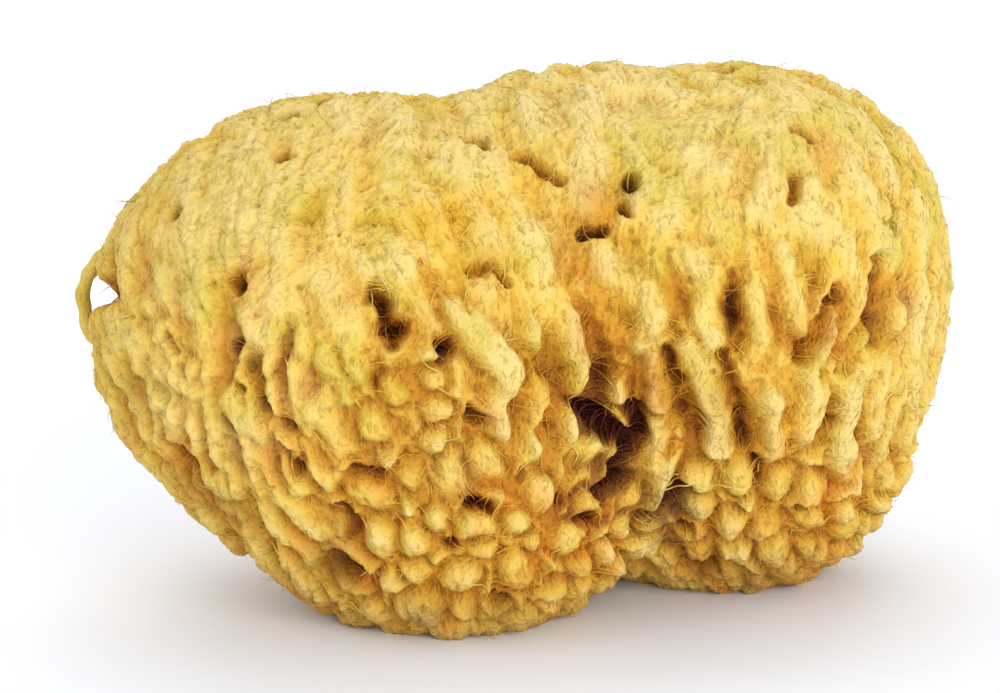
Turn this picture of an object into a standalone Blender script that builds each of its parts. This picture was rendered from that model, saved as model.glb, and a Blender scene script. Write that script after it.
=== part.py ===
"""A natural bath sponge of two grown-together lobes, lying on the flat cut where it left its rock.

It is one piece of dried fibre. The skin is a mass of strands that run over the lobes and break up
into round knobs low on the front, with mouths and slits sunk between them.
"""

import math

import bmesh
import bpy
import numpy as np
from mathutils import Vector

# Driving sizes of the whole sponge, in metres
LENGTH = 0.140
DEPTH = 0.100
HEIGHT = 0.086

MM = 0.001
SEED = 11
TRIANGLES = 9000             # that the finished skin is thinned to
SKIN_LEVEL = 7               # subdivisions of the sphere that the skin is drawn from

# Strands and knobs of the skin
GROOVE_DEPTH = 4.7 * MM      # from a high strand's crest to the groove beside it
GROOVE_RANGE = (-1.7, 1.3)   # of the streaks' noise, from the bottom of a groove to a crest
STREAKS = {                  # width of a strand with the groove beside it, and its length
    "middle": (5.8 * MM, 22.0 * MM),
    "flank": (4.2 * MM, 26.0 * MM),
    "top": (7.0 * MM, 9.0 * MM),
}
STREAK_WAVES = 90            # that each pattern of streaks is a sum of
WAVE_SPREAD = (0.75, 1.4)    # of their lengths, as shares of the width
FLANK_END = -26.0 * MM       # along X, where the left flank of finer strands ends
FLANK_FADE = 6.0 * MM
FLANK_SHARE = 0.62           # of the grooves' depth that is left on it
CALM_HEIGHTS = (46.0 * MM, 66.0 * MM)   # over which the skin grows smoother towards the top
CALM_SHARE = 0.34            # of the grooves' depth that is left on the smoother top
EVEN_HEIGHTS = (26.0 * MM, 38.0 * MM)   # below which all grooves are equally deep
GROOVE_SHARE = 0.82          # of GROOVE_DEPTH that a usual groove has
UNEVEN_SHARE = 0.30          # of GROOVE_DEPTH that this goes up and down by, in waves UNEVEN_LENGTH long
UNEVEN_LENGTH = 22.0 * MM
CELL_REACH = (1.1, 1.9)      # over which a knob or listed strand gives way to streaks, in half-widths
STRAND_NOISE = (0.8, -1.0)   # what a listed strand adds to the noise in its middle and at its border
STRAND_HOLD = 0.3            # share of the streaks' own noise that is lost there
STRAND_SHARPNESS = 1.7       # the higher, the flatter a listed strand and the narrower the groove round it
KNOB_GROOVE = 3.9 * MM       # from a high knob's top to the groove round it
KNOB_SPREAD = 0.35           # how far knobs lie below one another, as a share of KNOB_GROOVE
KNOB_SHARPNESS = 2.4
KNOB_HALF = 2.9 * MM         # radius of a usual knob
KNOB_ZONE = 22.0 * MM        # height below which the skin is knobs, but for the left flank
KNOB_TRIES = 2500
CROWDING = 0.84              # gap between two knobs' middles, as a share of their half-widths' sum
PLACE_SPACING = 1.2 * MM     # of the places that stand for a strand when room is sought
BEND = 1.1 * MM              # sideways waver of every groove

# Mouths where the picture shows none: on the back, the ends and the top
MOUTH_DEPTH = 8.0 * MM
MOUTH_HALVES = (1.3 * MM, 2.5 * MM)
MOUTH_LENGTHS = (0.4 * MM, 1.0 * MM, 3.0 * MM, 8.0 * MM)
MOUTH_SPACING = 12.5 * MM
MOUTH_TRIES = 900
MOUTH_RAGGEDNESS = 0.38      # how far the edge of every mouth goes in and out, as a share of its half-width
RAGGED_LENGTH = 3.6 * MM

# Grown lobes: centre and radii, as shares of (LENGTH, DEPTH, HEIGHT) from the middle of the base
LOBES = {
    "left": ((-0.179, -0.06, 0.528), (0.314, 0.43, 0.412)),
    "left crown": ((-0.180, -0.02, 0.656), (0.232, 0.36, 0.298)),
    "left flank": ((-0.200, -0.08, 0.340), (0.180, 0.30, 0.270)),
    "left foot": ((-0.070, -0.14, 0.222), (0.228, 0.29, 0.262)),
    "right": ((0.216, 0.09, 0.512), (0.286, 0.42, 0.426)),
    "right shoulder": ((0.276, 0.10, 0.668), (0.221, 0.34, 0.330)),
    "right foot": ((0.250, 0.09, 0.279), (0.221, 0.31, 0.304)),
    "saddle": ((0.071, 0.04, 0.680), (0.193, 0.32, 0.330)),
    "back foot": ((0.040, 0.20, 0.230), (0.230, 0.26, 0.256)),
}
LOBE_BLEND = 9.0             # the higher, the sharper the valleys between lobes
HEART = np.array([0.0, 0.0, 0.49 * HEIGHT])

# The front is laid out on a picture 1000 px wide, in which the sponge is PICTURE_LENGTH px long
PICTURE_LENGTH = 867.0
PICTURE_MIDDLE = (500.0, 346.5)
PIXEL = LENGTH / PICTURE_LENGTH
VIEW_TILT = math.radians(12.0)
VIEW_DISTANCE = 0.54
VIEW_AIM = np.array([-0.0023, 0.0, 0.0413])

# Strands on the front: picture points along each, then its half-width in px
FRONT_STRANDS = [
    ([(452, 310), (515, 365), (555, 405), (595, 450)], 18),
    ([(520, 200), (545, 255), (562, 300), (585, 395)], 18),
    ([(380, 230), (410, 275), (440, 330)], 17),
    ([(265, 275), (300, 340), (350, 390)], 16),
    ([(320, 270), (345, 330), (370, 400)], 17),
    ([(225, 310), (245, 335), (262, 365)], 14),
    ([(150, 330), (180, 400), (215, 500)], 15),
    ([(178, 372), (200, 440), (232, 505)], 13),
    ([(225, 400), (262, 450), (300, 500)], 16),
    ([(285, 455), (335, 495)], 14),
    ([(318, 415), (345, 455)], 15),
    ([(605, 245), (628, 280), (650, 310)], 19),
    ([(620, 360), (622, 405)], 10),
    ([(655, 360), (660, 410)], 12),
    ([(688, 350), (705, 400), (715, 460)], 15),
    ([(690, 250), (703, 295), (715, 335)], 18),
    ([(755, 250), (760, 300), (765, 345)], 16),
    ([(790, 250), (796, 295), (800, 335)], 13),
    ([(765, 400), (772, 430), (776, 462)], 17),
    ([(785, 355), (825, 405), (805, 455)], 15),
    ([(845, 150), (850, 200), (852, 245), (868, 335)], 17),
    ([(925, 200), (928, 330), (915, 450)], 18),
    ([(890, 360), (882, 440)], 17),
    ([(856, 390), (850, 480)], 16),
    ([(590, 150), (592, 190)], 22),
]

# Knobs on the front: picture point and radius in px
FRONT_KNOBS = [
    (375, 430, 15), (400, 395, 14), (443, 383, 13), (443, 417, 13), (435, 450, 14), (455, 478, 19),
    (493, 463, 18), (545, 492, 19), (365, 505, 19), (405, 480, 14), (415, 545, 19), (418, 580, 14),
    (395, 592, 14), (460, 592, 17), (465, 622, 14), (480, 532, 17), (520, 525, 14), (540, 545, 14),
    (525, 580, 22), (440, 518, 13), (375, 550, 18), (580, 545, 17), (590, 575, 15), (560, 605, 16),
    (635, 530, 16), (640, 495, 14), (612, 560, 15), (740, 487, 17), (790, 495, 19), (730, 535, 20),
    (700, 490, 15), (770, 540, 18), (690, 545, 15), (660, 570, 15), (820, 530, 16), (850, 520, 15),
]

# Mouths and slits on the front: picture points along each, its half-width in px, its depth in mm
FRONT_MOUTHS = [
    ([(593, 420), (612, 429)], 9, 6.0),
    ([(610, 436), (628, 446)], 14, 9.0),
    ([(634, 418), (636, 448)], 10, 8.0),
    ([(628, 448), (626, 476)], 15, 10.0),
    ([(620, 478), (612, 496)], 10, 8.0),
    ([(575, 507), (600, 518)], 9, 4.5),
    ([(556, 522), (576, 522)], 6, 3.0),
    ([(157, 332), (165, 352)], 6, 2.5),
    ([(235, 388), (236, 392)], 7, 3.0),
    ([(258, 402), (284, 440)], 10, 2.8),
    ([(338, 528), (342, 550)], 9, 4.0),
    ([(350, 482), (372, 486)], 9, 3.0),
    ([(760, 440), (762, 492)], 9, 2.8),
    ([(665, 430), (668, 462)], 10, 3.5),
    ([(682, 498), (662, 524)], 13, 9.0),
    ([(645, 537), (682, 546)], 9, 7.0),
    ([(396, 335), (397, 337)], 14, 11.0),
    ([(366, 290), (390, 325)], 9, 7.0),
    ([(450, 348), (451, 351)], 13, 10.0),
    ([(233, 272), (235, 279)], 15, 7.0),
    ([(474, 136), (481, 138)], 11, 6.0),
    ([(629, 165), (630, 205)], 8, 8.0),
    ([(172, 204), (172, 208)], 9, 6.0),
    ([(289, 110), (292, 113)], 9, 6.0),
    ([(282, 143), (288, 147)], 10, 4.0),
    ([(520, 150), (555, 178)], 9, 3.5),
    ([(590, 225), (610, 226)], 9, 4.5),
    ([(888, 262), (888, 335)], 13, 4.5),
    ([(838, 290), (825, 330), (810, 362)], 13, 5.0),
    ([(730, 350), (736, 430), (744, 460)], 11, 4.0),
    ([(667, 355), (674, 425)], 12, 3.8),
    ([(584, 300), (600, 345), (608, 385)], 15, 2.4),
    ([(480, 424), (494, 427)], 12, 6.0),
    ([(455, 550), (459, 556)], 9, 6.0),
    ([(480, 508), (490, 511)], 8, 6.0),
    ([(325, 572), (345, 588)], 15, 6.0),
    ([(505, 615), (515, 616)], 10, 6.0),
    ([(693, 578), (708, 579)], 10, 6.0),
    ([(598, 526), (607, 527)], 8, 6.0),
    ([(475, 270), (495, 268), (510, 280)], 8, 3.0),
    ([(270, 455), (290, 485)], 8, 4.5),
    ([(221, 430), (223, 434)], 9, 4.5),
    ([(219, 348), (221, 353)], 9, 4.5),
    ([(378, 390), (382, 392)], 9, 5.0),
    ([(538, 370), (539, 380)], 8, 4.0),
    ([(806, 124), (814, 127)], 9, 4.5),
    ([(795, 170), (796, 195)], 8, 3.0),
    ([(900, 195), (901, 225)], 7, 4.5),
    ([(835, 428), (836, 432)], 8, 5.0),
    ([(807, 520), (809, 522)], 8, 5.0),
    ([(728, 270), (742, 320)], 9, 3.5),
    ([(150, 440), (185, 475)], 9, 4.5),
]

# The see-through gap on the left rim: a groove over the rim, bridged by one strand
RIM_GROOVE = [(-0.43, -0.20, 0.634), (-0.48, -0.08, 0.605), (-0.50, 0.0, 0.585), (-0.48, 0.08, 0.565),
              (-0.43, 0.20, 0.536)]
RIM_GROOVE_HALF = 3.7 * MM
RIM_GROOVE_DEPTH = 5.0 * MM
RIM_BRIDGE = [(-0.45, 0.0, 0.72), (-0.47, 0.0, 0.66), (-0.49, 0.0, 0.62), (-0.50, 0.0, 0.58),
              (-0.49, 0.0, 0.54), (-0.49, 0.0, 0.49), (-0.48, 0.0, 0.43)]
RIM_BRIDGE_RISE = (-7.0 * MM, -1.2 * MM, 0.4 * MM, 0.9 * MM, 0.4 * MM, -1.2 * MM, -7.0 * MM)
RIM_BRIDGE_RADIUS = 1.15 * MM

CUT_HEIGHT = 1.5 * MM        # of the flat cut above the lowest swell of the lobes
CUT_FADE = 7.0 * MM          # height over which the relief settles into the cut base
CUT_SHARE = 0.3              # of the relief that is left at the cut
SPONGIN_COLOUR = (0.68, 0.43, 0.10, 1.0)


def to_metres(shares):
    """A place or size given as shares of the three driving sizes."""
    return np.asarray(shares, float) * np.array([LENGTH, DEPTH, HEIGHT])


def lobe_field(points):
    """Smooth union of the lobes, with its slope: below zero inside.

    q_i = |(p - c_i) / r_i|, field = -ln(sum_i exp(-k (q_i - 1))) / k, slope = weighted grad q_i.
    """
    total = 0.0
    slope = np.zeros_like(points)
    for centre, radii in LOBES.values():
        offset = (points - to_metres(centre)) / to_metres(radii)
        reach = np.maximum(np.linalg.norm(offset, axis=-1), 1e-9)
        weight = np.exp(-LOBE_BLEND * (reach - 1.0))
        total = total + weight
        slope += (weight / reach)[..., None] * offset / to_metres(radii)
    return -np.log(total) / LOBE_BLEND, slope / total[..., None]


def crossing(start, step, near, far, count):
    """Where each ray start + t step first enters the lobes, for t from near to far in count steps."""
    found = np.zeros(len(step), bool)
    outside = np.full(len(step), near)
    inside = np.full(len(step), far)
    for t in np.linspace(near, far, count):
        now = (lobe_field(start + step * t)[0] < 0.0) & ~found
        inside[now] = t
        found |= now
        outside[~found] = t
    for _ in range(24):
        middle = (outside + inside) / 2.0
        is_in = lobe_field(start + step * middle[:, None])[0] < 0.0
        inside = np.where(is_in, middle, inside)
        outside = np.where(is_in, outside, middle)
    return start + step * inside[:, None]


def on_lobes(directions):
    """The outermost lobe surface in each direction from the heart."""
    unit = directions / np.linalg.norm(directions, axis=-1, keepdims=True)
    return crossing(HEART, unit, 0.8 * LENGTH, 0.0, 70)


def scattered(count, seed):
    """Places all over the lobes, in seeded order."""
    return on_lobes(np.random.default_rng(seed).normal(size=(count, 3)))


def settle(points):
    """Points close to the lobes, drawn onto them along the slope by Newton steps."""
    for _ in range(4):
        value, slope = lobe_field(points)
        points = points - (value / (slope ** 2).sum(-1))[..., None] * slope
    return points


def normals(points):
    """Outward unit normals of the lobes."""
    slope = lobe_field(points)[1]
    return slope / np.linalg.norm(slope, axis=-1, keepdims=True)


def sight(picture_points):
    """The places on the lobes seen at the given picture points."""
    back = np.array([0.0, -math.cos(VIEW_TILT), math.sin(VIEW_TILT)])
    up = np.array([0.0, math.sin(VIEW_TILT), math.cos(VIEW_TILT)])
    eye = VIEW_AIM + VIEW_DISTANCE * back
    offset = (np.asarray(picture_points, float) - PICTURE_MIDDLE) * PIXEL
    ray = -VIEW_DISTANCE * back + offset[:, :1] * np.array([1.0, 0.0, 0.0]) - offset[:, 1:] * up
    return crossing(eye, ray, 0.80, 1.20, 160)


def waves(points, length, seed):
    """Slow noise from -1 to 1: eight sine waves of one length in seeded directions."""
    rng = np.random.default_rng(seed)
    total = np.zeros(points.shape[:-1])
    for _ in range(8):
        direction = rng.normal(size=3)
        direction /= np.linalg.norm(direction)
        total += np.sin(points @ direction * (2.0 * math.pi / length) + rng.uniform(0.0, 6.28))
    return np.clip(total / 4.0, -1.0, 1.0)


def grain(points, normal):
    """The way the strands run: round the long axis, leaning over on the left lobe.

    grain = n x (x + lean z) + a little of the upward slope, laid in the surface.
    """
    lean = 0.75 * np.clip((0.012 - points[..., 0]) / 0.040, 0.0, 1.0)
    axis = np.stack([np.ones_like(lean), np.zeros_like(lean), lean], -1)
    along = np.cross(normal, axis) * np.where(normal[..., 1:2] > 0.0, -1.0, 1.0)
    upward = np.array([0.0, 0.0, 1.0]) - normal * normal[..., 2:3]
    along = along + 0.6 * upward
    swirl = np.cross(normal, along)
    along = along + 0.45 * waves(points, 0.045, SEED)[..., None] * swirl
    return along / np.maximum(np.linalg.norm(along, axis=-1, keepdims=True), 1e-9)


def front_strands():
    """The strands read off the front: a list of (points, half-width)."""
    return [(sight(path), half * PIXEL) for path, half in FRONT_STRANDS]


def all_knobs(strands):
    """The knobs read off the front, then more in the room that is left low down: (points, half-width)."""
    knobs = [(sight([(x, y), (x + 2, y + 3)]), radius * PIXEL) for x, y, radius in FRONT_KNOBS]
    taken = [dense(path) for path, _ in strands + knobs]
    places = np.concatenate(taken)
    widths = np.repeat([half for _, half in strands + knobs], [len(points) for points in taken])
    rng = np.random.default_rng(SEED)
    for seed in scattered(KNOB_TRIES, SEED):
        half = KNOB_HALF * rng.uniform(0.75, 1.25)
        run = rng.uniform(0.1, 0.9) * KNOB_HALF
        top = KNOB_ZONE + KNOB_HALF * rng.uniform(-1.0, 1.0)
        is_near = (np.linalg.norm(places - seed, axis=1) < CROWDING * (widths + half)).any()
        if is_near or seed[2] > top or seed[0] < FLANK_END:
            continue
        end = seed + run * grain(seed, normals(seed))
        knobs.append((settle(np.array([seed, end])), half))
        places = np.concatenate([places, [seed]])
        widths = np.append(widths, half)
    return knobs


def dense(path):
    """Places along a path, no more than PLACE_SPACING or so apart."""
    pieces = [path[:1]]
    for a, b in zip(path[:-1], path[1:]):
        count = max(1, int(np.linalg.norm(b - a) / PLACE_SPACING))
        pieces.append(a + (b - a) * (np.arange(1, count + 1) / count)[:, None])
    return np.concatenate(pieces)


def path_distance(points, path):
    """Distance from each point to a path of straight stretches."""
    nearest = np.full(len(points), 1.0)
    for a, b in zip(path[:-1], path[1:]):
        run = b - a
        share = np.clip(((points - a) @ run) / max(run @ run, 1e-12), 0.0, 1.0)
        nearest = np.minimum(nearest, np.linalg.norm(points - a - share[:, None] * run, axis=1))
    return nearest


def within(points, path, reach):
    """Numbers of the points that lie in a path's box, grown by reach all round."""
    low, high = path.min(0) - reach, path.max(0) + reach
    return np.where(((points > low) & (points < high)).all(1))[0]


def cells(points, strands):
    """For each point, how near it is to a strand and to its border with the next one.

    f, g = distances to the nearest and second nearest strand in half-widths, border b = f / ((f + g) / 2)
    with that half-sum kept from 0.6 to 1.25. Returns f, b and the nearest strand's number.
    """
    farthest = 4.0
    first = np.full(len(points), farthest)
    second = np.full(len(points), farthest)
    owner = np.zeros(len(points), int)
    for number, (path, half) in enumerate(strands):
        near = within(points, path, farthest * half)
        distance = path_distance(points[near], path) / half
        closer = distance < first[near]
        second[near] = np.minimum(second[near], np.where(closer, first[near], distance))
        owner[near[closer]] = number
        first[near] = np.minimum(first[near], distance)
    border = first / np.clip((first + second) / 2.0, 0.6, 1.25)
    return first, np.clip(border, 0.0, 1.0), owner


def rim_places(shares):
    """Places on the lobes that lie straight out from the heart through the given ones."""
    return on_lobes(to_metres(shares) - HEART)


def mouths():
    """Every mouth, slit and the rim groove: a list of (points, half-width, depth)."""
    result = []
    for path, half, depth in FRONT_MOUTHS:
        result.append((sight(path), half * PIXEL, depth * MM))
    result.append((rim_places(RIM_GROOVE), RIM_GROOVE_HALF, RIM_GROOVE_DEPTH))
    rng = np.random.default_rng(SEED + 1)
    chosen = np.zeros((0, 3))
    for seed in scattered(MOUTH_TRIES, SEED + 1):
        normal = normals(seed)
        seen_in_picture = normal[1] < -0.15
        near_another = (np.linalg.norm(chosen - seed, axis=1) < MOUTH_SPACING).any()
        if seen_in_picture or near_another or seed[2] < CUT_FADE:
            continue
        chosen = np.concatenate([chosen, [seed]])
        end = seed + grain(seed, normal) * rng.choice(MOUTH_LENGTHS)
        depth = MOUTH_DEPTH * rng.uniform(0.45, 1.1)
        result.append((settle(np.array([seed, end])), rng.uniform(*MOUTH_HALVES), depth))
    return result


def easing(values, low, high):
    """0 below low, 1 above high, and 3 t^2 - 2 t^3 between."""
    t = np.clip((values - low) / (high - low), 0.0, 1.0)
    return t * t * (3.0 - 2.0 * t)


def streaks(points, along, width, length):
    """Noise drawn out along the grain, with a mean of about 0 and a spread of 1.

    sum_i sin(k_i p + a_i) sinc(k_i g length / 2), for waves k_i about one width long.
    """
    rng = np.random.default_rng(SEED + 4)
    total = np.zeros(len(points))
    for _ in range(STREAK_WAVES):
        direction = rng.normal(size=3)
        wave = width * rng.uniform(*WAVE_SPREAD)
        direction *= 2.0 * math.pi / (wave * np.linalg.norm(direction))
        share = np.sinc(along @ direction * length / (2.0 * math.pi))
        total += share * np.sin(points @ direction + rng.uniform(0.0, 2.0 * math.pi))
    return total / total.std()


def streak_relief(points, bent, strands):
    """Depth of the skin below the lobes between strands: groove (1 - easing(n, GROOVE_RANGE)).

    On the flank the same depth is drawn towards groove / 2, so that its grooves are shallower.

    n is the streaks' noise, drawn up in the middle of each listed strand and down at its border:
    n = (1 - hold c) s + c (middle + (edge - middle) b^STRAND_SHARPNESS), with c = 1 on the strand.
    """
    along = grain(points, normals(points))
    on_flank = 1.0 - easing(points[:, 0], FLANK_END, FLANK_END + FLANK_FADE)
    on_top = easing(points[:, 2], *CALM_HEIGHTS)
    middle, flank, top = (streaks(bent, along, *STREAKS[name]) for name in ("middle", "flank", "top"))
    noise = middle + on_flank * (flank - middle)
    noise = noise + on_top * (top - noise)
    nearness, border, _ = cells(bent, strands)
    on_strand = 1.0 - easing(nearness, *CELL_REACH)
    drawn = STRAND_NOISE[0] + (STRAND_NOISE[1] - STRAND_NOISE[0]) * border ** STRAND_SHARPNESS
    noise = noise * (1.0 - STRAND_HOLD * on_strand) + drawn * on_strand
    unevenness = waves(points, UNEVEN_LENGTH, SEED + 3) * easing(points[:, 2], *EVEN_HEIGHTS)
    groove = GROOVE_DEPTH * (GROOVE_SHARE + UNEVEN_SHARE * unevenness)
    groove = groove * (1.0 - (1.0 - CALM_SHARE) * on_top)
    flank_share = 1.0 - (1.0 - FLANK_SHARE) * on_flank
    return groove * (0.5 + flank_share * (0.5 - easing(noise, *GROOVE_RANGE)))


def skin_relief(points, bent, strands, knobs):
    """Depth of the skin below the lobes: between strands, and where there are knobs between those.

    A knob's top lies a seeded share of KNOB_GROOVE deep: depth = top + (KNOB_GROOVE - top) b^KNOB_SHARPNESS.
    """
    depth = streak_relief(points, bent, strands)
    nearness, border, owner = cells(bent, knobs)
    rng = np.random.default_rng(SEED + 2)
    top = KNOB_GROOVE * rng.uniform(0.0, KNOB_SPREAD, len(knobs))[owner]
    knob_depth = top + (KNOB_GROOVE - top) * border ** KNOB_SHARPNESS
    depth = depth + (1.0 - easing(nearness, *CELL_REACH)) * (knob_depth - depth)
    height = np.clip((points[:, 2] - CUT_HEIGHT) / CUT_FADE, 0.0, 1.0)
    return depth * (CUT_SHARE + (1.0 - CUT_SHARE) * height)


def relief(points, strands, knobs, openings):
    """Depth of the skin below the lobes: grooves between strands and knobs, and mouths.

    A mouth of half-width r and depth d adds d (1 - (t / r)^2)^1.5 at distance t from its path, with t
    unsettled by noise, so that its edge is ragged. Where mouths overlap, the deeper one counts.
    """
    waver = np.stack([waves(points, 17.0 * MM, SEED + 10 + axis) for axis in range(3)], -1)
    bent = points + BEND * waver
    ragged = 1.0 + MOUTH_RAGGEDNESS * waves(points, RAGGED_LENGTH, SEED + 6)
    sunk = np.zeros(len(points))
    for path, half, mouth_depth in openings:
        near = within(bent, path, half / (1.0 - MOUTH_RAGGEDNESS))
        share = np.clip(ragged[near] * path_distance(bent[near], path) / half, 0.0, 1.0)
        sunk[near] = np.maximum(sunk[near], mouth_depth * (1.0 - share ** 2) ** 1.5)
    return skin_relief(points, bent, strands, knobs) + sunk


def material():
    """Dried spongin: horny yellow fibre with no shine."""
    spongin = bpy.data.materials.new("dried spongin fibre")
    spongin.use_nodes = True
    surface = spongin.node_tree.nodes["Principled BSDF"]
    surface.inputs["Base Color"].default_value = SPONGIN_COLOUR
    surface.inputs["Roughness"].default_value = 0.85
    surface.inputs["Metallic"].default_value = 0.0
    return spongin


def skin_mesh():
    """A finely divided sphere, each vertex sent out to the lobes and sunk by the relief."""
    strands = front_strands()
    sphere = bmesh.new()
    bmesh.ops.create_icosphere(sphere, subdivisions=SKIN_LEVEL, radius=1.0)
    mesh = bpy.data.meshes.new("sponge")
    sphere.to_mesh(mesh)
    sphere.free()
    flat = np.empty(3 * len(mesh.vertices))
    mesh.vertices.foreach_get("co", flat)
    points = on_lobes(flat.reshape(-1, 3))
    sunk = relief(points, strands, all_knobs(strands), mouths())
    points = points - normals(points) * sunk[:, None]
    mesh.vertices.foreach_set("co", points.ravel())
    mesh.update()
    mesh.materials.append(material())
    return mesh


def bridge_object():
    """The strand over the rim gap: a bevelled curve made into a closed mesh."""
    path = rim_places(RIM_BRIDGE)
    path = path + normals(path) * np.array(RIM_BRIDGE_RISE)[:, None]
    curve = bpy.data.curves.new("rim bridge", "CURVE")
    curve.dimensions = "3D"
    curve.bevel_depth = RIM_BRIDGE_RADIUS
    curve.bevel_resolution = 2
    curve.use_fill_caps = True
    spline = curve.splines.new("POLY")
    spline.points.add(len(path) - 1)
    for point, place in zip(spline.points, path):
        point.co = (*place, 1.0)
    guide = bpy.data.objects.new("rim bridge curve", curve)
    bpy.context.scene.collection.objects.link(guide)
    evaluated = guide.evaluated_get(bpy.context.evaluated_depsgraph_get())
    mesh = bpy.data.meshes.new_from_object(evaluated)
    welded = bmesh.new()
    welded.from_mesh(mesh)
    bmesh.ops.remove_doubles(welded, verts=welded.verts, dist=1e-6)
    welded.to_mesh(mesh)
    welded.free()
    bridge = bpy.data.objects.new("rim bridge", mesh)
    bridge.matrix_world = guide.matrix_world
    bpy.data.objects.remove(guide)
    return bridge


def ground_object():
    """The block that cuts the sponge off flat at the height of its rock."""
    block = bmesh.new()
    bmesh.ops.create_cube(block, size=1.0)
    bmesh.ops.scale(block, vec=(2.0 * LENGTH, 2.0 * LENGTH, HEIGHT), verts=block.verts)
    bmesh.ops.translate(block, vec=(0.0, 0.0, -HEIGHT / 2.0), verts=block.verts)
    mesh = bpy.data.meshes.new("ground")
    block.to_mesh(mesh)
    block.free()
    return bpy.data.objects.new("ground", mesh)


def middle_of(objects):
    """The middle of the objects' common box at the height of the cut."""
    places = np.array([corner for item in objects for corner in item.bound_box])
    middle = (places.min(0) + places.max(0)) / 2.0
    return Vector((middle[0], middle[1], CUT_HEIGHT))


def main():
    for old in list(bpy.data.objects):
        bpy.data.objects.remove(old)
    parts = bpy.data.collections.new("sea sponge")
    cutters = bpy.data.collections.new("cutters")
    bpy.context.scene.collection.children.link(parts)
    bpy.context.scene.collection.children.link(cutters)

    sponge = bpy.data.objects.new("sponge", skin_mesh())
    parts.objects.link(sponge)
    thin = sponge.modifiers.new("thin", "DECIMATE")
    thin.ratio = TRIANGLES / len(sponge.data.polygons)

    bridge = bridge_object()
    middle = middle_of([sponge, bridge])
    sponge.location -= middle
    bridge.location -= middle
    for cutter, operation in ((bridge, "UNION"), (ground_object(), "DIFFERENCE")):
        cutters.objects.link(cutter)
        cutter.hide_render = True
        cutter.display_type = "WIRE"
        join = sponge.modifiers.new(cutter.name, "BOOLEAN")
        join.object = cutter
        join.operation = operation


main()
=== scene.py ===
"""Looks of a dried natural sea sponge: its skin, its felt of fibres, the light and the camera."""

import math

import bpy
import numpy as np
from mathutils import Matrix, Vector


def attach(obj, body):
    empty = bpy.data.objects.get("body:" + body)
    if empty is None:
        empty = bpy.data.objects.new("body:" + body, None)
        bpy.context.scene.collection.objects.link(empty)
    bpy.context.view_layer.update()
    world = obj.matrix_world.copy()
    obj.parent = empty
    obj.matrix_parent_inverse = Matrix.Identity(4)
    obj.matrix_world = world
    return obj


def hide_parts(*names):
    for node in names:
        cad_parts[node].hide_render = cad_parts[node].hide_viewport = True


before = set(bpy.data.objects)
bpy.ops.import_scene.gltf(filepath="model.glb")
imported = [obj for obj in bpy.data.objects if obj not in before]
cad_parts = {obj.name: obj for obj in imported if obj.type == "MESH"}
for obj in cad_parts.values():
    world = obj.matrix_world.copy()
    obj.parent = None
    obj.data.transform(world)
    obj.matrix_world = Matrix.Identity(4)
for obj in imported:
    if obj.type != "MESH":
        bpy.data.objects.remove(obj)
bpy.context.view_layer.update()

# The skin
# A dried sponge is one mass of spongin, a horny yellow protein fibre. It grew as two lobes whose skin
# is strands that run over them and round knobs low on the front, with mouths and slits between. It is
# drawn as six wedges that meet at its heart, to keep each piece small.
LENGTH = 0.140
DEPTH = 0.100
HEIGHT = 0.086
MM = 0.001
SEED = 11
TURN = 6.28                  # a full turn, near enough for seeded angles

# Grown lobes: centre and radii, as shares of (LENGTH, DEPTH, HEIGHT) from the middle of the base
LOBES = {
    "left": ((-0.179, -0.06, 0.528), (0.314, 0.43, 0.412)),
    "left crown": ((-0.180, -0.02, 0.656), (0.232, 0.36, 0.298)),
    "left flank": ((-0.200, -0.08, 0.340), (0.180, 0.30, 0.270)),
    "left foot": ((-0.070, -0.14, 0.222), (0.228, 0.29, 0.262)),
    "right": ((0.216, 0.09, 0.512), (0.286, 0.42, 0.426)),
    "right shoulder": ((0.276, 0.10, 0.668), (0.221, 0.34, 0.330)),
    "right foot": ((0.250, 0.09, 0.279), (0.221, 0.31, 0.304)),
    "saddle": ((0.071, 0.04, 0.680), (0.193, 0.32, 0.330)),
    "back foot": ((0.040, 0.20, 0.230), (0.230, 0.26, 0.256)),
}
LOBE_BLEND = 9.0             # the higher, the sharper the valleys between lobes
HEART = np.array([0.0, 0.0, 0.49 * HEIGHT])
HALVINGS = 24                # of the step in which a ray enters the lobes
NEWTON_STEPS = 4


def to_metres(shares):
    """A place or size given as shares of the three driving sizes."""
    return np.asarray(shares, float) * np.array([LENGTH, DEPTH, HEIGHT])


def lobe_field(points):
    """Smooth union of the lobes, with its slope: below zero inside.

    q_i = |(p - c_i) / r_i|, field = -ln(sum_i exp(-k (q_i - 1))) / k, slope = weighted grad q_i.
    """
    total = 0.0
    slope = np.zeros_like(points)
    for centre, radii in LOBES.values():
        offset = (points - to_metres(centre)) / to_metres(radii)
        reach = np.maximum(np.linalg.norm(offset, axis=-1), 1e-9)
        weight = np.exp(-LOBE_BLEND * (reach - 1.0))
        total = total + weight
        slope += (weight / reach)[..., None] * offset / to_metres(radii)
    return -np.log(total) / LOBE_BLEND, slope / total[..., None]


def crossing(start, step, near, far, count):
    """Where each ray start + t step first enters the lobes, for t from near to far in count steps."""
    found = np.zeros(len(step), bool)
    outside = np.full(len(step), near)
    inside = np.full(len(step), far)
    for t in np.linspace(near, far, count):
        now = (lobe_field(start + step * t)[0] < 0.0) & ~found
        inside[now] = t
        found |= now
        outside[~found] = t
    for _ in range(HALVINGS):
        middle = (outside + inside) / 2.0
        is_in = lobe_field(start + step * middle[:, None])[0] < 0.0
        inside = np.where(is_in, middle, inside)
        outside = np.where(is_in, outside, middle)
    return start + step * inside[:, None]


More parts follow.
